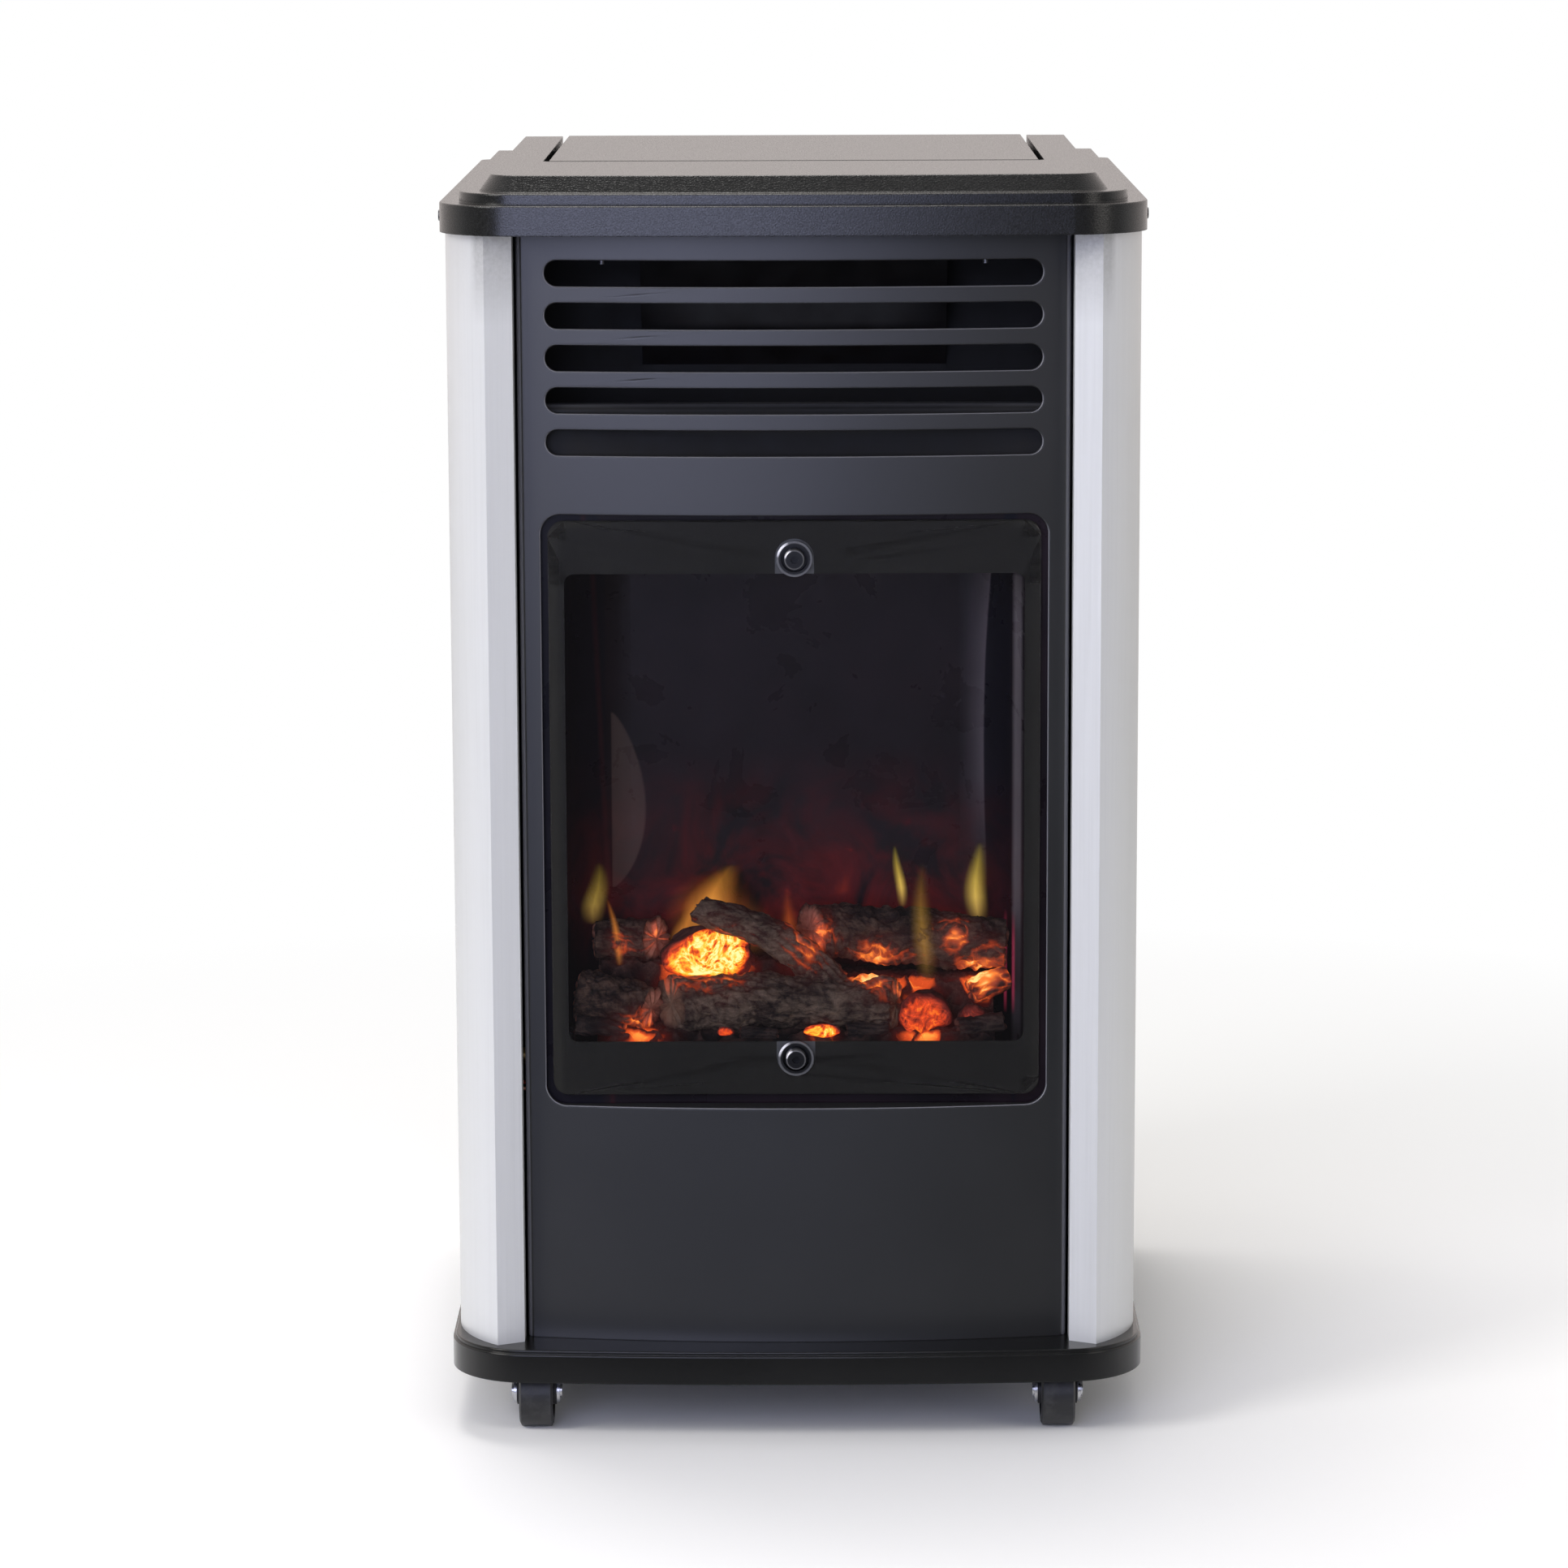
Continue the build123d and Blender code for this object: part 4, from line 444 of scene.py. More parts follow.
def enamelFinish():
    f = Finish("fireboxEnamel")
    soot = f.noise(26, 5, 0.6, 0.4)
    cloud = f.noise(9, 3)
    colour = f.blend(f.vary(cloud), enamel["dark"], enamel["light"])
    rough = f.span(soot, 0.35, 0.7, enamel["roughness"], enamel["roughness"] + 0.2)
    x, z = f.axis(0), f.axis(2)
    # painted firelight: a glow where the fire would light the back wall, with red spots in it
    drift = f.span(f.noise(22, 4, 0.65, 0.8), 0.38, 0.72)
    firelightPool = f.clamp(f.between(z, *enamel["firelightHeight"]) ** 1.5 * drift * f.between(x, *enamel["firelightAcross"]))
    firelightSpots = f.span(f.noise(75, 2), 0.66, 0.78) * f.between(z, 0.34, 0.36, 0.37, 0.395) * 0.9
    glow = f.ramp(f.clamp(firelightPool + firelightSpots * firelightPool * 3),
                  [(0.0, (0.0, 0.0, 0.0)), (0.5, (0.30, 0.010, 0.010)), (1.0, (1.0, 0.08, 0.02))])
    # painted reflections on the back wall: a half moon at the left, dark bands, a red line, a sheen and a pale strip
    # near the sides
    wave = f.noise(6, 2) * 0.006 - 0.003
    share = f.span(z, *enamel["moonHeight"])
    arch = (share * (1 - share) * 4) ** 0.75 * f.span(share, 0, 1, 1.0, 0.72)
    moonEdge = enamel["moonSide"] + enamel["moonWidth"] * arch + wave * 0.3
    moon = f.between(x, -0.1170, -0.1160, moonEdge - 0.0008, moonEdge + 0.0008)
    moon = moon * f.between(share, 0.0, 0.01, 0.99, 1.0)
    leftBand = f.span(x, *enamel["leftBandAcross"]) * 0.8
    redLine = f.between(x + (z - 0.4) * 0.04, *enamel["redLineAcross"]) * 0.5
    inner, *outer = enamel["rightBandSides"]
    edge = inner + (z - 0.42) * (z - 0.42) * 0.35 + wave * 0.5
    rightBand = f.between(x, edge, edge + 0.0015, *outer)
    sheen = f.span(x, edge - enamel["sheenWidth"], edge) ** 2 * f.span(x, edge + 0.0012, edge)
    sheen = sheen * f.span(z, *enamel["sheenHeight"])
    pale = f.between(x, *enamel["paleAcross"]) * f.span(z, *enamel["paleFoot"], 0.55, 1.0)
    shown = f.between(z, *enamel["shownHeight"])    # not where only the gap round the printed border shows it
    for mark, shade in ((leftBand, "leftBand"), (redLine, "redLine"), (moon, "moon"), (sheen * shown, "sheen"),
                        (rightBand, "rightBand"), (pale * shown, "pale")):
        colour = f.blend(mark, colour, enamel[shade + "Shade"])
    # thin streaks of painted glow near the pale strip
    left, right = (f.between(x, *sides) for sides in enamel["streaks"])
    streak = (left + right) * f.between(z, *enamel["streakHeight"])
    glow = f.blend(streak * 0.8, glow, enamel["streakGlow"])
    return f.coat(colour=colour, rough=rough, relief=f.relief(f.noise(700, 3), 0.00006, 0.25), gloss=0.16, glow=glow,
                  glowPower=enamel["glowPower"])


sootedSteel = {
    "dark": (0.003, 0.003, 0.0034),
    "light": (0.0075, 0.0072, 0.0078),
    # a painted highlight on the up-facing lip, and a band of painted light across the air guide
    "lip": (0.05, 0.05, 0.055),
    "lipHeight": (0.640, 0.643, 0.650, 0.655),
    "band": (0.034, 0.034, 0.036),
    "bandHeight": (0.683, 0.688, 0.700, 0.706),
    "bandHalfSquared": (0.0086, 0.0030),
    "galvanised": (0.42, 0.43, 0.44),
    "rearFace": (-0.0968, -0.0962),
}


# black where the air passes, galvanised on the cylinder's side; paler makes a lighter copy, painted light on the air
# guide
def sootFinish(name="sootedSteel", paler=1.0, litBandStrength=0.0):
    f = Finish(name)
    soot, grain = f.noise(60, 5, 0.6, 0.3), f.noise(900, 2)
    colour = f.blend(f.vary(soot), times(sootedSteel["dark"], paler), times(sootedSteel["light"], paler))
    normal, z = f.normal(), f.axis(2)
    # painted highlight on the up-facing lip
    lip = f.span(f.part(normal, 2), 0.5, 0.9) * f.between(z, *sootedSteel["lipHeight"])
    colour = f.blend(lip, colour, sootedSteel["lip"])
    # painted light: a lighter band across the middle of the air guide
    band = f.between(z, *sootedSteel["bandHeight"]) * f.span(soot, 0.25, 0.6, 0.7, 1.0) * litBandStrength
    band = band * f.span(f.square(0), *sootedSteel["bandHalfSquared"])
    colour = f.blend(band, colour, sootedSteel["band"])
    rear = f.span(f.part(normal, 1), 0.5, 0.6) * f.span(f.axis(1), *sootedSteel["rearFace"])
    return f.coat(colour=f.blend(rear, colour, sootedSteel["galvanised"]), rough=f.vary(soot, 0.5, 0.7),
                  metal=rear * 0.8, relief=f.relief(grain, 0.00006, 0.4), gloss=0.25)


galvanised = {"spangle": 85, "dark": (0.40, 0.41, 0.42), "light": (0.56, 0.57, 0.58), "metal": 0.9}
dial = {
    "knob": (-0.046, -0.0007), "button": (0.052, -0.0007),    # their centres
    "top": 0.7585,    # the deck's upper face
    "ticks": 30, "inner": 0.0215, "tickHalf": 0.0022,
    "from": 0.20, "to": 0.80,    # share of a turn, from the front
    "ring": 0.0105,
    "plate": (0.016, 0.016, 0.017), "ink": (0.72, 0.72, 0.70),
    "plateDepth": (-0.056, -0.0555, 0.046, 0.0465), "plateHalfSquared": (0.0196, 0.0194),
}


def steelFinish(name="galvanisedSheet", marked=False):
    f = Finish(name)
    spangle = f.cells(galvanised["spangle"])
    edges = f.cells(galvanised["spangle"], "DISTANCE_TO_EDGE")
    rolled = f.noise(400, 2, where=f.stretched(1, 1, 0.05))
    colour = f.blend(f.clamp(spangle * 0.9), galvanised["dark"], galvanised["light"])
    rough, relief = f.vary(rolled, 0.36, 0.52), f.relief(edges, 0.00005, 0.2)
    if not marked:
        return f.coat(colour=colour, metal=galvanised["metal"], rough=rough, relief=relief)
    # a black printed plate with a pale dial: ticks of growing length round the knob, and a ring round the button
    x, y = f.axis(0) - dial["knob"][0], f.axis(1) - dial["knob"][1]
    reach = (x * x + y * y) ** 0.5
    turn = f.maths("ARCTAN2", x, y) / (2 * math.pi) + 0.5
    off = f.maths("ABSOLUTE", f.maths("FRACT", turn * dial["ticks"]) - 0.5)
    shown = f.between(turn, dial["from"], dial["from"] + 0.004, dial["to"], dial["to"] + 0.004)
    tick = f.span(off * reach, dial["tickHalf"] * 1.3, dial["tickHalf"])
    tick = tick * f.span(reach, dial["inner"], dial["inner"] + 0.0003)
    tick = tick * f.span(reach, dial["inner"] + 0.0053 + turn * 0.004, dial["inner"] + 0.005 + turn * 0.004) * shown
    u, v = f.axis(0) - dial["button"][0], f.axis(1) - dial["button"][1]
    ring = f.between((u * u + v * v) ** 0.5, *(dial["ring"] + d for d in (0, 0.0003, 0.0012, 0.0015)))
    top = f.span(f.axis(2), dial["top"] - 0.0004, dial["top"] - 0.0002)
    plate = top * f.between(f.axis(1), *dial["plateDepth"]) * f.span(f.square(0), *dial["plateHalfSquared"])
    ink = f.clamp(tick + ring) * plate
    colour = f.blend(ink, f.blend(plate, colour, dial["plate"]), dial["ink"])
    return f.coat(colour=colour, metal=(1 - plate) * galvanised["metal"], rough=rough, relief=relief)


sealTape = {"pitch": 260, "wander": 1.5, "dark": (0.38, 0.36, 0.32), "light": (0.72, 0.70, 0.66), "depth": 0.0004}


def sealFinish():
    f = Finish("glassFibreTape")
    warp, weft = (f.node("ShaderNodeTexWave", {"wave_type": "BANDS", "bands_direction": way}, {
        "Vector": f.stretched(1, 1, 1), "Scale": sealTape["pitch"], "Distortion": sealTape["wander"]}) for way in "XZ")
    weave = warp * weft
    return f.coat(colour=f.ramp(weave, [(0.0, sealTape["dark"]), (0.6, sealTape["light"])]), rough=0.9,
                  relief=f.relief(weave, sealTape["depth"], 0.6))


# ---- window ----
windowPane = {
    "mirror": (0.88, 0.77, 0.82),
    "strength": 1.42,
    "skin": (0.0008, 0.0004),    # depth over which it counts as the outer face
    "borderDark": (0.0195, 0.0192, 0.0155), "borderLight": (0.0240, 0.0235, 0.0195),
    "padDark": (0.075, 0.078, 0.075), "padLight": (0.105, 0.108, 0.105),
}


def glassFinish():    # clear: what its outside mirrors, by the angle, hides what is behind it by as much
    f = Finish("ceramicGlass")
    smear = f.noise(5, 2, 0.5, 0.3)
    flat = f.normal()
    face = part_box("window_glass")[0][1]
    # the inner face stays clear, because the printed border touches it
    outer = f.span(f.axis(1), *(face + depth for depth in windowPane["skin"]))
    mirror = f.node("ShaderNodeFresnel", None, {"IOR": 1.5, "Normal": flat})
    return f.coat(colour=windowPane["mirror"], metal=1.0, rough=f.vary(smear, 0.03, 0.05),
                  alpha=f.clamp(mirror * windowPane["strength"] * outer), relief=flat)


def borderFinish():
    f = Finish("firedPrint")
    fine, cloud = f.noise(1600, 2), f.noise(12, 3)
    return f.coat(colour=f.blend(f.vary(cloud), windowPane["borderDark"], windowPane["borderLight"]),
                  rough=f.vary(fine, 0.25, 0.38), relief=f.relief(fine, 0.00004, 0.3, f.normal()), gloss=0.08)


def padFinish():
    f = Finish("palePrint")
    fine = f.noise(1500, 2)
    return f.coat(colour=f.blend(fine, windowPane["padDark"], windowPane["padLight"]), rough=0.5,
                  relief=f.relief(fine, 0.00005, 0.3))


windowScrew = {
    "upper": 0.551, "lower": 0.2385,    # heights of the two axes
    "cup": (0.0106, 0.0012), "head": (0.0062, 0.0011),    # radius and width of the bright rim: the cup's metal flange, and a painted highlight on the screw head's chamfer
    # black, the bright rim, and the painted highlight at the rim's upper left
    "dark": (0.0035, 0.0035, 0.004), "bright": (0.095, 0.095, 0.10), "keyHighlight": (0.85, 0.84, 0.86),
}


def screwFinish(name, edge, wide):
    f = Finish(name)
    worn = f.noise(1300, 3, 0.6)
    # height and distance from the nearer screw's axis
    z = f.axis(2) - (windowScrew["upper"] + windowScrew["lower"]) / 2
    drop = z - f.maths("SIGN", z) * ((windowScrew["upper"] - windowScrew["lower"]) / 2)
    away = (f.square(0) + drop * drop) ** 0.5
    # the bright rim is the cup's metal flange and, on the screw heads, a painted highlight on the chamfer
    rim = f.span(away, edge - wide, edge - wide * 0.5) * f.span(worn, 0.25, 0.5, 0.65, 1.0)
    lit = f.span((drop - f.axis(0) * 1.3) / away, 1.38, 1.62) * rim    # painted highlight, as the key lamp at the upper left would put on the rim
    shade = f.blend(lit, f.blend(rim, windowScrew["dark"], windowScrew["bright"]), windowScrew["keyHighlight"])
    return f.coat(colour=shade, metal=rim * 0.3, rough=f.vary(worn, 0.30, 0.42),
                  relief=f.relief(worn, 0.00004, 0.3), gloss=0.3)


# ---- wheels ----
tyre = {"scuff": 140, "dark": (0.012, 0.012, 0.013), "light": (0.038, 0.037, 0.036), "depth": 0.0002}


def treadFinish():
    f = Finish("wheelTread")
    scuff = f.noise(tyre["scuff"], 4, 0.65)
    return f.coat(colour=f.blend(f.span(scuff, 0.45, 0.75), tyre["dark"], tyre["light"]),
                  rough=f.vary(scuff, 0.38, 0.58), relief=f.relief(scuff, tyre["depth"], 0.3))


corners = ("front_left", "front_right", "rear_left", "rear_right")
zinc = zincFinish("zincPlate")
dress(powderFinish(), "top_cap", "control_flap", "rear_door")
dress(powderFinish("basePowder", 0.40, 0.08), "base_tray")
dress(satinFinish(), "front_panel")
dress(silverFinish(), "side_panel_left", "side_panel_right")
dress(steelFinish(), "firebox_stand", "injector_holder", "stop_collar")
dress(steelFinish("printedDeck", True), "control_deck")
dress(enamelFinish(), "firebox_shell", "firebox_floor", "burner")
dress(sootFinish(), "lower_deflector", "top_baffle", "partition")
dress(sootFinish("airGuideSteel", 1.1, 1.0), "air_guide")
dress(screwFinish("blackCup", *windowScrew["cup"]), "window_cups")
dress(screwFinish("blackScrew", *windowScrew["head"]), "window_screws")
dress(zincFinish("dullZinc"), "baffle_screws")
dress(zinc, "caster_plates", "door_hinges", "flap_hinge_pins", "pilot", *("caster_fork_" + c for c in corners))
dress(zincFinish("blackZinc"), "top_cap_screws", "thermocouple", "spark_electrode")
dress(brassFinish("turnedBrass"), "injector", "hose_inlet", "valve_spindle")
dress(brassFinish("castBrass"), "gas_valve")
dress(brassFinish("drawnCopper"), "feed_pipe", "thermocouple_lead")
dress(plasticFinish("siliconeJacket"), "ignition_lead")
dress(plasticFinish("blackMoulding"), "control_knob", "door_latch", "igniter_body")
dress(plasticFinish("redMoulding"), "igniter_button")
dress(glassFinish(), "window_glass")
dress(borderFinish(), "window_border")
dress(padFinish(), "screw_pads")
dress(sealFinish(), "window_seal")
dress(treadFinish(), *("caster_wheel_" + c for c in corners))
print("stage: finishes of the cabinet")


# ---- fire: logs, embers and flames ----
# sums sine waves of random direction; each octave is half as long and half as high
def ripple(points, pitch, seed, octaves=3):
    rng = np.random.default_rng(seed)
    total, weight = np.zeros(points.shape[:-1]), 0.0
    for octave in range(octaves):
        for _ in range(7):
            ray = rng.normal(size=3)
            ray *= 2 * math.pi * 2 ** octave * rng.uniform(0.7, 1.3) / (pitch * np.linalg.norm(ray))
            total += np.sin(points @ ray + rng.uniform(0, 6.28)) / 2 ** octave
        weight += 2.6 / 2 ** octave
    return np.clip(total / weight, -1, 1)


def makePiece(name, points, faces, material, marks=None):
    mesh = bpy.data.meshes.new(name)
    mesh.from_pydata(points.tolist(), [], faces)
    mesh.validate()
    for key, values in (marks or {}).items():
        held = mesh.attributes.new(key, "FLOAT", "POINT").data
        held.foreach_set("value", np.asarray(values, dtype=np.float32))
    mesh.polygons.foreach_set("use_smooth", np.ones(len(mesh.polygons), dtype=bool))
    mesh.materials.append(material)
    made = bpy.data.objects.new(name, mesh)
    scene.collection.objects.link(made)
    return made


def tubeFaces(rows, around, first=0):    # quads of a grid closed round, with a fan to one pole at each end
    r, a = np.meshgrid(np.arange(rows - 1), np.arange(around), indexing="ij")
    b = (a + 1) % around
    quads = np.stack([r * around + a, r * around + b, (r + 1) * around + b, (r + 1) * around + a], -1)
    k = np.arange(around)
    low, high = first + rows * around, first + rows * around + 1
    start = np.stack([np.full(around, low), first + (k + 1) % around, first + k], 1)
    last = first + (rows - 1) * around
    end = np.stack([np.full(around, high), last + k, last + (k + 1) % around], 1)
    return (quads.reshape(-1, 4) + first).tolist() + start.tolist() + end.tolist()


glows = [    # centre, reach and strength of each
    ((-0.050, -0.168, 0.296), 0.023, 1.15), ((-0.070, -0.168, 0.284), 0.017, 0.85),
    ((0.006, -0.164, 0.303), 0.019, 0.95), ((-0.097, -0.184, 0.252), 0.015, 0.75),
    ((-0.108, -0.160, 0.300), 0.010, 0.7), ((0.050, -0.168, 0.286), 0.018, 1.25),
    ((0.074, -0.170, 0.281), 0.017, 1.1), ((0.118, -0.166, 0.283), 0.018, 1.2),
    ((0.100, -0.162, 0.306), 0.013, 1.0), ((0.080, -0.184, 0.252), 0.016, 0.8),
    ((0.016, -0.192, 0.250), 0.009, 0.5), ((-0.088, -0.150, 0.302), 0.012, 0.65),
]


def heat(points):    # falls off as a bell round each glow, and the strongest counts
    total = np.zeros(points.shape[:-1])
    for centre, reach, power in glows:
        away = np.linalg.norm((points - np.array(centre)) * np.array([1, 0.8, 1.1]), axis=-1)
        total = np.maximum(total, power * np.exp(-(away / reach) ** 2))
    return total


bark = {
    "grooves": 9,    # round the log
    "depth": 0.15,    # of a groove, as a share of the radius
    "splits": 4,
    "inset": 0.09,
    "lump": 0.13, "fine": 0.045,
    "wander": 4.2,
    "jag": 0.0022,    # roughness of the sawn ends
    "slantReach": 0.35,    # share of the length that a slanted end changes
    "glowPower": 1.3,
}


def barkTube(start, end, radii, seed, sag=0.0, slant=(0.0, 0.0), rows=150, around=112):
    # a circle carried along a bent line; its radius tapers, and narrow wandering grooves cut into it
    start, end = np.array(start), np.array(end)
    ends = np.array([0.0, 0.35, 0.62, 0.82, 0.94])
    steps = np.concatenate([ends, np.ones(rows), ends[::-1]])
    share = np.concatenate([0 * ends, np.linspace(0, 1, rows), 0 * ends + 1])
    line = end - start
    ahead = line / np.linalg.norm(line)
    side = np.cross(ahead, [0, 0, 1.0])
    side /= np.linalg.norm(side)
    above = np.cross(side, ahead)
    middle = start + share[:, None] * line + (np.sin(math.pi * share) * sag)[:, None] * above
    turn = circle(around)
    spoke = np.cos(turn)[:, None] * side + np.sin(turn)[:, None] * above
    radius = radii[0] + (radii[1] - radii[0]) * share
    skin = middle[:, None, :] + radius[:, None, None] * spoke[None]
    wander = bark["wander"] * ripple(skin, 0.034, seed, 3)
    wave = np.abs(np.sin(0.5 * (bark["grooves"] * turn[None] + wander + 6 * share[:, None])))
    split = np.abs(np.sin(0.5 * (bark["splits"] * turn[None] + 7 * ripple(skin, 0.03, seed + 1, 3))))
    patchy = np.clip(0.55 + 0.9 * ripple(skin, 0.022, seed + 5, 2), 0.1, 1)
    groove = patchy * np.clip(1 - wave ** 0.5, 0, 1) + 0.6 * np.clip(1 - split ** 0.35, 0, 1)
    lumps = ripple(skin, 0.03, seed + 2, 3)
    fine = ripple(skin, 0.006, seed + 3, 2)
    scale = 1 - bark["depth"] * groove - bark["inset"] + bark["lump"] * lumps + bark["fine"] * fine
    out = radius[:, None] * (steps[:, None] * scale)
    rough = ripple(skin * np.array([0.2, 1, 1]), 0.007, seed + 4, 2)
    away = np.where(share < 0.5, -1, 1)[:, None]
    jag = bark["jag"] * (rough * np.minimum(1, 5 * (1 - steps))[:, None]) * away
    nearStart, nearEnd = (np.clip(1 - s / bark["slantReach"], 0, 1) ** 2 for s in (share, 1 - share))
    lean = (slant[0] * nearStart - slant[1] * nearEnd)[:, None] * out * np.cos(turn)[None]
    shape = middle[:, None, :] + out[..., None] * spoke[None] + (jag + lean)[..., None] * ahead
    points = np.concatenate([shape[1:-1].reshape(-1, 3), middle[[0, -1]]])
    grooves = np.concatenate([groove[1:-1].ravel(), [0, 0]])
    cuts = np.concatenate([np.repeat(1 - steps[1:-1], around), [1, 1]])
    return points, len(share) - 2, around, grooves, cuts


def barkFinish(name, dark, light, endShade):
    f = Finish(name)
    groove, cut, warm = f.own("groove"), f.own("cut"), f.own("warmth")
    fibre = f.noise(300, 5, 0.72, 0.8, where=f.stretched(0.35, 1, 1))
    patch = f.noise(60, 5, 0.68, 0.5)
    tone = f.clamp(f.span(fibre, 0.32, 0.68) * 0.55 + f.span(patch, 0.35, 0.66) * 0.60 - groove * 0.55)
    skin = f.ramp(tone, [(0.0, (0.006, 0.004, 0.004)), (0.30, dark), (0.75, light), (1.0, times(light, 1.5))])
    wood = f.blend(f.vary(f.noise(300, 3)), times(endShade, 0.6), endShade)
    colour = f.blend(f.span(cut, 0.02, 0.25), skin, wood)
    cracks = f.clamp(groove * 0.9 + f.span(patch, 0.50, 0.34) * 0.55)
    # the glow stands partly for the logs' own heat and partly for painted firelight from the glows below them
    burn = f.clamp(warm * (0.16 + cracks * 0.95) + f.span(warm, 0.75, 1.25) * 0.5)
    glow = f.ramp(burn, [(0.0, (0, 0, 0)), (0.16, (0.02, 0.002, 0.001)), (0.38, (0.30, 0.035, 0.008)),
                         (0.66, (0.95, 0.22, 0.03)), (1.0, (1.0, 0.66, 0.22))])
    bump = f.relief(f.clamp(fibre * 0.6 + patch * 0.5 + (1 - groove) * 0.3), 0.0014, 0.9)
    return f.coat(colour=colour, rough=0.86, relief=bump, glow=glow, glowPower=bark["glowPower"], gloss=0.25)


barks = {    # dark, light and sawn end
    "greyBark": ((0.034, 0.023, 0.016), (0.130, 0.090, 0.062), (0.22, 0.14, 0.085)),
    "brownBark": ((0.026, 0.015, 0.011), (0.092, 0.054, 0.036), (0.48, 0.19, 0.12)),
    "charBark": ((0.012, 0.008, 0.007), (0.050, 0.032, 0.024), (0.11, 0.045, 0.030)),
}
logs = {
    # node that it replaces, its bark, and the tubes that it is made of
    "frontLog": ("log_front", "greyBark", [
        dict(start=(-0.078, -0.178, 0.2677), end=(0.062, -0.178, 0.2672), radii=(0.0188, 0.0178),
             seed=3, sag=0.0012, slant=(0.55, 0.30)),
        dict(start=(0.026, -0.1765, 0.2750), end=(-0.060, -0.166, 0.3250), radii=(0.0132, 0.0104),
             seed=8, sag=0.0085, slant=(0.0, 0.3), rows=90, around=80)]),
    "leftLog": ("log_left", "brownBark", [
        dict(start=(-0.136, -0.173, 0.2722), end=(-0.0905, -0.178, 0.2642), radii=(0.0176, 0.0152),
             seed=12, slant=(0, 0.4), rows=80)]),
    "upperLeftLog": ("log_rear_left", "brownBark", [
        dict(start=(-0.126, -0.146, 0.3018), end=(-0.088, -0.146, 0.3018), radii=(0.0134, 0.0145),
             seed=21, slant=(0, 0.7), rows=60)]),
    "rightLog": ("log_right", "brownBark", [
        dict(start=(0.010, -0.146, 0.3072), end=(0.131, -0.146, 0.2962), radii=(0.0195, 0.0182),
             seed=31, sag=0.002, slant=(0.55, 0.0))]),
    "charPieces": (None, "charBark", [
        dict(start=start, end=end, radii=radii, seed=seed, rows=36, around=48) for seed, start, end, radii in (
            (41, (0.101, -0.186, 0.2535), (0.129, -0.181, 0.2555), (0.0072, 0.0066)),
            (42, (-0.034, -0.1885, 0.2510), (-0.012, -0.1895, 0.2505), (0.0046, 0.0040)),
            (43, (0.032, -0.1885, 0.2520), (0.058, -0.1870, 0.2535), (0.0054, 0.0046)),
            (44, (0.110, -0.166, 0.2720), (0.133, -0.159, 0.2790), (0.0095, 0.0085)),
            (45, (-0.137, -0.187, 0.2560), (-0.108, -0.188, 0.2525), (0.0074, 0.0058)))]),
}


def makeLogs():
    materials = {name: barkFinish(name, *look) for name, look in barks.items()}
    for name, (node, look, tubes) in logs.items():
        points, faces, grooves, cuts, first = [], [], [], [], 0
        for tube in tubes:
            shape, rows, around, groove, cut = barkTube(**tube)
            faces += [face[::-1] for face in tubeFaces(rows, around, first)]
            points.append(shape)
            grooves.append(groove)
            cuts.append(cut)
            first += len(shape)
        points = np.concatenate(points)
        marks = {"groove": np.concatenate(grooves), "cut": np.concatenate(cuts), "warmth": heat(points)}
        made = makePiece(name, points, faces, materials[look], marks)
        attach(made, "cabinet")
        if node:
            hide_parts(node)


embers = {
    "lump": 0.011, "height": 0.0032, "highest": 0.0042,
    "rows": 260, "across": 150,
    "edge": 0.0018,    # it stays this far inside the plain bed
    "frontTop": 0.2487, "stepTops": (0.2875, 0.2769), "stepAt": 0.016,
    "straightHalf": 0.089, "cornerRadius": 0.036,
    "dark": (0.03, 0.016, 0.012), "light": (0.11, 0.055, 0.04), "glowPower": 1.5,
}


def emberFinish():
    f = Finish("emberCrust")
    warm, deep = f.own("warmth"), f.own("deep")
    flecks, ash = f.noise(330, 5, 0.7), f.noise(75, 4, 0.6)
    colour = f.ramp(f.clamp(flecks * 0.7 + ash * 0.5 - deep * 0.4),
                    [(0.2, (0.004, 0.003, 0.003)), (0.55, embers["dark"]), (0.9, embers["light"])])
    burn = f.clamp(warm * (0.35 + deep * 1.1) + f.span(flecks, 0.55, 0.8) * warm * 0.5)
    glow = f.ramp(burn, [(0.0, (0, 0, 0)), (0.2, (0.03, 0.002, 0.001)), (0.45, (0.55, 0.06, 0.01)),
                         (0.7, (1.0, 0.34, 0.05)), (1.0, (1.0, 0.86, 0.45))])
    return f.coat(colour=colour, rough=0.92, relief=f.relief(flecks, 0.0012, 0.8), glow=glow,
                  glowPower=embers["glowPower"], gloss=0.2)


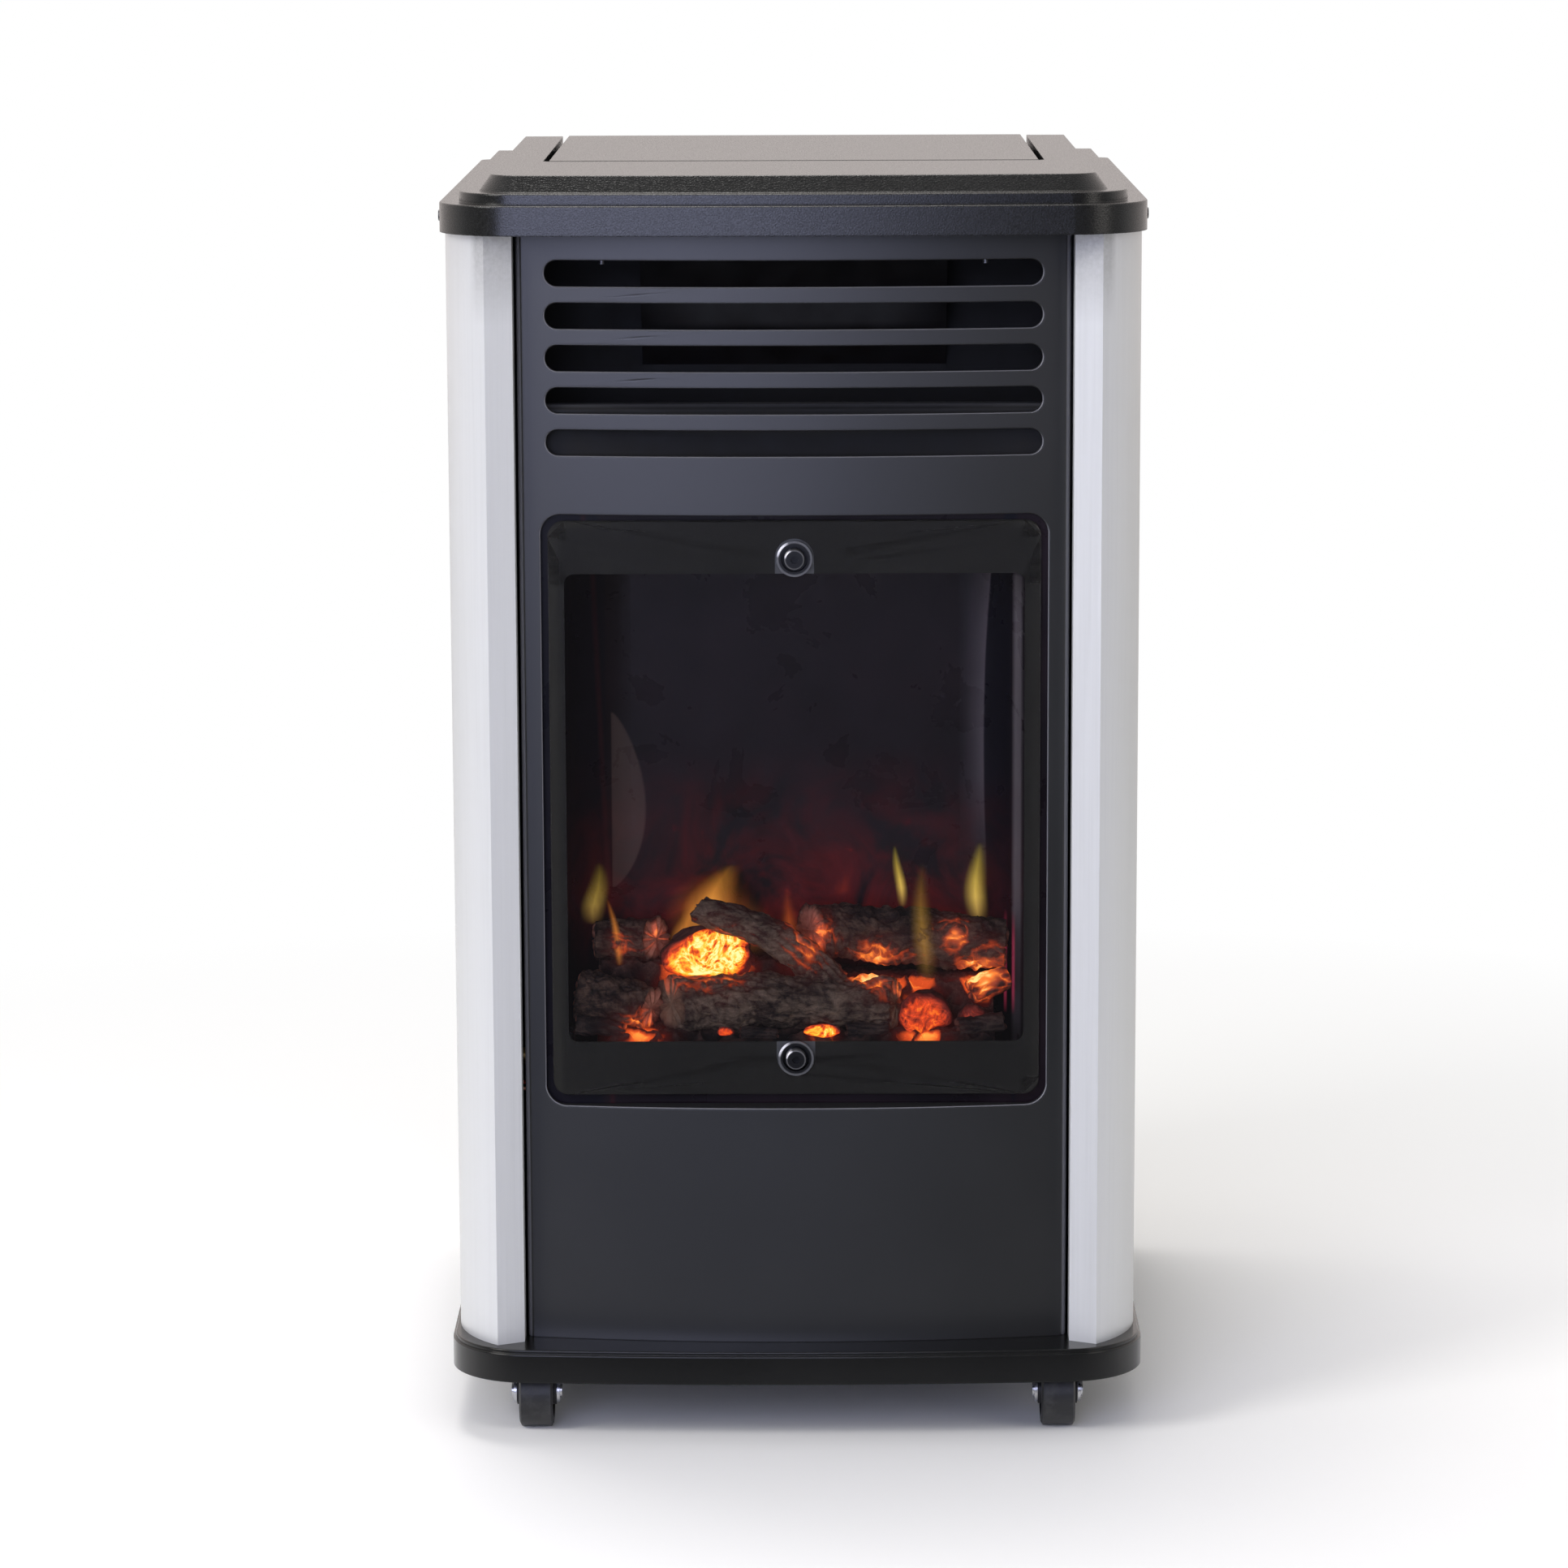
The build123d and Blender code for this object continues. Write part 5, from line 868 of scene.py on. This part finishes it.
def makeEmberBed():
    # the stepped outline of the bed, closed round, carried along X; waves and rounded lumps stand on it
    low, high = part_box("ember_bed")
    rows, across, edge = embers["rows"], embers["across"], embers["edge"]
    x = np.linspace(low[0] + 0.001, high[0] - 0.001, rows)
    leftTop, rightTop = embers["stepTops"]
    rearTop = leftTop + (rightTop - leftTop) / (1 + np.exp(-(x - embers["stepAt"]) / 0.0025))
    share = np.linspace(0, 1, across, endpoint=False)
    stops = np.array([0, 0.10, 0.34, 0.50, 0.76, 0.88, 1.0])
    front, rear = low[1] + edge, high[1] - edge
    y = np.interp(share, stops, np.array([front, front, -0.161, -0.157, rear, rear, front]))
    base, step = low[2], embers["frontTop"]
    z = np.stack([np.interp(share, stops, [base, step, step + 0.001, top, top - 0.001, base, base])
                  for top in rearTop])
    bend = np.clip((np.abs(x) - embers["straightHalf"]) / embers["cornerRadius"], 0, 1)
    back = np.where(y > -0.15, 1, 0) * (embers["cornerRadius"] * (1 - np.sqrt(np.clip(1 - bend ** 2, 0, 1))))[:, None]
    grid = np.stack([np.repeat(x[:, None], across, 1), np.minimum(y[None], rear - back), z], -1)
    lumps = np.abs(ripple(grid, embers["lump"] * 2.2, 51, 2))
    fine = ripple(grid, 0.006, 52, 2)
    topSide = np.clip((z - base) / 0.006, 0, 1)
    rise = topSide * (embers["height"] * (1.1 - 2.4 * lumps) + 0.0006 * fine)
    grid[..., 2] += np.minimum(rise, embers["highest"])
    points = np.concatenate([grid.reshape(-1, 3), np.stack([grid[0].mean(0), grid[-1].mean(0)])])
    deep = np.concatenate([np.clip(1.3 * (lumps - 0.12) * 2.2, 0, 1).ravel(), [0, 0]])
    faces = [face[::-1] for face in tubeFaces(rows, across)]
    marks = {"warmth": heat(points) * 0.62, "deep": deep}
    made = makePiece("emberBed", points, faces, emberFinish(), marks)
    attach(made, "cabinet")
    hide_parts("ember_bed")


wire = {"radius": 0.00055, "around": 14, "perTurn": 44, "flatTurns": 0.8}
springs = {
    # node, body it rides on, joint that squeezes it, by how far, and turns of wire
    "knobCoil": ("knob_spring", "knob_carrier", "knob_push", 0.003, 5),
    "igniterCoil": ("igniter_spring", "cabinet", "igniter_push", 0.005, 4.5),
}


def makeSprings():
    # a wire carried round a circle while it climbs; the first and last turns lie flat, as on a ground end
    thick, around, flat = wire["radius"], wire["around"], wire["flatTurns"]
    for name, (node, body, joint, travel, turns) in springs.items():
        low, high = (np.array(c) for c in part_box(node))
        middle, height = (low + high) / 2, high[2] - low[2]
        reach = (high[0] - low[0]) / 2 - thick - 0.00002
        rows = int(turns * wire["perTurn"])
        share = np.linspace(0, 1, rows)
        turn = 2 * math.pi * turns * share
        climb = np.clip((share * turns - flat) / (turns - 2 * flat), 0, 1)
        climb = climb * 0.7 + (3 * climb ** 2 - 2 * climb ** 3) * 0.3
        out = np.stack([np.cos(turn), np.sin(turn), 0 * turn], -1)
        rise = low[2] + thick + climb * (height - 2 * thick)
        line = middle * [1, 1, 0] + out * reach + np.outer(rise, [0, 0, 1])
        spin = circle(around)[None, :, None]
        skin = line[:, None] + thick * (np.cos(spin) * out[:, None] + np.sin(spin) * np.array([0, 0, 1.0]))
        faces = [face[::-1] for face in tubeFaces(rows, around)]
        made = makePiece(name, np.concatenate([skin.reshape(-1, 3), line[[0, -1]]]), faces, zinc)
        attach(made, body)
        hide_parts(node)
        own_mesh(made)


stoneLook = {"rows": 40, "around": 56, "swell": 0.16, "fine": 0.03, "glowPower": 1.15,
             "dark": (0.02, 0.009, 0.008), "light": (0.10, 0.04, 0.028)}
stones = {
    # centre, half sizes, brightness, how much of it is yellow and seed of each glowing lump
    "brightHeap": ((-0.053, -0.1575, 0.2945), (0.029, 0.0085, 0.0180), 1.0, 1.0, 61),
    "emberBall": ((0.080, -0.178, 0.2605), (0.0158, 0.0115, 0.0135), 0.50, 0.42, 62),
    "sideEmber": ((0.110, -0.178, 0.2575), (0.0085, 0.0085, 0.0090), 0.30, 0.15, 63),
    "frontEmber": ((0.016, -0.1905, 0.2528), (0.0115, 0.0032, 0.0042), 0.85, 0.8, 64),
    "smallEmber": ((-0.044, -0.1905, 0.2520), (0.0055, 0.0028, 0.0030), 0.5, 0.4, 65),
}


def glowFinish():
    f = Finish("glowingEmber")
    power, low, front, yellow = (f.own(n) for n in ("power", "low", "front", "yellow"))
    swirl = f.noise(70, 5, 0.66, 2.6)
    ridge = 1 - f.maths("ABSOLUTE", f.noise(62, 3, 0.5, 3.0) * 4 - 2)
    core = f.clamp(f.span(front, 0.15, 0.85) * 1.15)
    burn = power * core * (0.30 + f.span(swirl, 0.38, 0.66) * 0.40)
    burn = f.clamp(burn + f.clamp(ridge * 1.6 - 0.6) * yellow * core * 0.50 + low * power * 0.20)
    crust = f.blend(f.vary(swirl), stoneLook["dark"], stoneLook["light"])
    glow = f.ramp(burn, [(0.0, (0.004, 0, 0)), (0.20, (0.10, 0.006, 0.003)), (0.42, (0.72, 0.055, 0.006)),
                         (0.60, (1.0, 0.27, 0.012)), (0.78, (1.0, 0.62, 0.045)), (1.0, (1.0, 0.93, 0.38))])
    return f.coat(colour=crust, rough=0.9, relief=f.relief(swirl, 0.0015, 0.6), glow=glow,
                  glowPower=stoneLook["glowPower"], gloss=0.2)


def makeStones():
    # a ball squeezed to three half sizes, its surface pushed in and out by waves
    material = glowFinish()
    rows, around = stoneLook["rows"], stoneLook["around"]
    up = np.linspace(0, math.pi, rows + 2)[1:-1, None]
    turn = circle(around)
    plain = np.stack([np.sin(up) * np.cos(turn), np.sin(up) * np.sin(turn), -np.cos(up) + 0 * turn], -1)
    ball = np.concatenate([plain.reshape(-1, 3), [[0, 0, -1], [0, 0, 1]]])
    low, front = np.clip(-ball[:, 2], 0, 1), np.clip(-ball[:, 1], 0, 1)
    for name, (centre, half, power, yellow, seed) in stones.items():
        swell = 1 + stoneLook["swell"] * ripple(ball, 1.7, seed, 2)
        swell = swell + stoneLook["fine"] * ripple(ball, 0.5, seed + 9, 2)
        points = np.array(centre) + ball * swell[:, None] * np.array(half)
        same = np.ones(len(points))
        marks = {"power": power * same, "yellow": yellow * same, "low": low, "front": front}
        made = makePiece(name, points, tubeFaces(rows, around), material, marks)
        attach(made, "cabinet")
        if name == "emberBall":
            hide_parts("ember_stones")


flameLook = {"rows": 40, "around": 40, "halfThick": 0.0009, "sway": 0.10, "glowPower": 1.25, "opacity": 0.56,
             "redFoot": (1.0, 0.20, 0.03), "redTip": (0.75, 0.02, 0.01),
             "yellowFoot": (1.0, 0.62, 0.16), "yellowTip": (0.78, 0.62, 0.05)}
flames = {
    # foot, height, width, lean to the right at the tip, brightness, hue (0 red to 1 yellow) and seed of each flame
    "heapFlame": ((-0.056, -0.1475, 0.300), 0.050, 0.036, 0.014, 0.85, 0.50, 71),
    "heapHaze": ((-0.050, -0.1465, 0.290), 0.056, 0.070, 0.006, 0.30, 0.30, 70),
    "heapTongue": ((-0.070, -0.153, 0.292), 0.034, 0.018, 0.004, 0.7, 0.40, 72),
    "leftWisp": ((-0.127, -0.131, 0.308), 0.040, 0.017, 0.002, 0.32, 1.0, 73),
    "leftLick": ((-0.110, -0.157, 0.286), 0.044, 0.0065, -0.008, 0.55, 0.35, 74),
    "middleLick": ((-0.006, -0.157, 0.288), 0.048, 0.013, 0.002, 0.40, 0.12, 75),
    "rightWisp": ((0.067, -0.128, 0.318), 0.040, 0.008, -0.004, 0.62, 1.0, 76),
    "paleColumn": ((0.081, -0.163, 0.276), 0.078, 0.016, -0.002, 0.20, 0.72, 77),
    "cornerWisp": ((0.115, -0.128, 0.308), 0.052, 0.016, 0.000, 0.60, 1.0, 78),
}


def flameFinish():
    f = Finish("flame")
    power, hue, side, rise = (f.own(n) for n in ("power", "hue", "side", "rise"))
    drift = f.noise(60, 3, 0.6, 0.8, where=f.stretched(1, 1, 0.35))
    body = f.span(side, 1.0, 0.0) ** 1.6 * f.between(rise, 0.0, 0.32, 0.45, 1.0)
    body = f.clamp(body * f.span(drift, 0.2, 0.6, 0.45, 1.0))
    cool = f.blend(rise, flameLook["redFoot"], flameLook["redTip"])
    warm = f.blend(rise, flameLook["yellowFoot"], flameLook["yellowTip"])
    return f.coat(colour=(0.0, 0.0, 0.0), rough=1.0, gloss=0.0, glow=f.blend(hue, cool, warm),
                  glowPower=flameLook["glowPower"], alpha=f.clamp(body * power * flameLook["opacity"]))


def makeFlames():
    # a thin closed leaf that stands on its foot: widest low down, waved from side to side, pointed at the tip
    material = flameFinish()
    rows, around = flameLook["rows"], flameLook["around"]
    rise = np.linspace(0, 1, rows + 2)[1:-1, None]
    turn = circle(around)[None]
    for name, (foot, height, width, lean, power, hue, seed) in flames.items():
        half = 0.5 * width * (0.35 + 1.5 * rise ** 0.6 * (1 - rise) ** 0.9 + 0.25 * (1 - rise))
        sway = flameLook["sway"] * width
        x = foot[0] + lean * rise ** 1.3 + sway * np.sin(5 * rise + seed) + half * np.cos(turn)
        y = foot[1] + flameLook["halfThick"] * np.sin(turn) * np.sin(math.pi * rise) ** 0.5 + 0 * x
        z = foot[2] + height * rise + 0 * x
        poles = [[foot[0] + sway * math.sin(seed), foot[1], foot[2]],
                 [foot[0] + lean + sway * math.sin(5 + seed), foot[1], foot[2] + height]]
        points = np.concatenate([np.stack([x, y, z], -1).reshape(-1, 3), poles])
        side = np.append(np.abs(np.cos(turn) + 0 * x).ravel(), [0, 0])
        up = np.append((rise + 0 * x).ravel(), [0, 1])
        same = np.ones(len(points))
        marks = {"power": power * same, "hue": hue * same, "side": side, "rise": up}
        made = makePiece(name, points, tubeFaces(rows, around), material, marks)
        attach(made, "cabinet")


makeLogs()
makeSprings()
makeEmberBed()
makeStones()
makeFlames()
print("stage: logs, embers and flames")
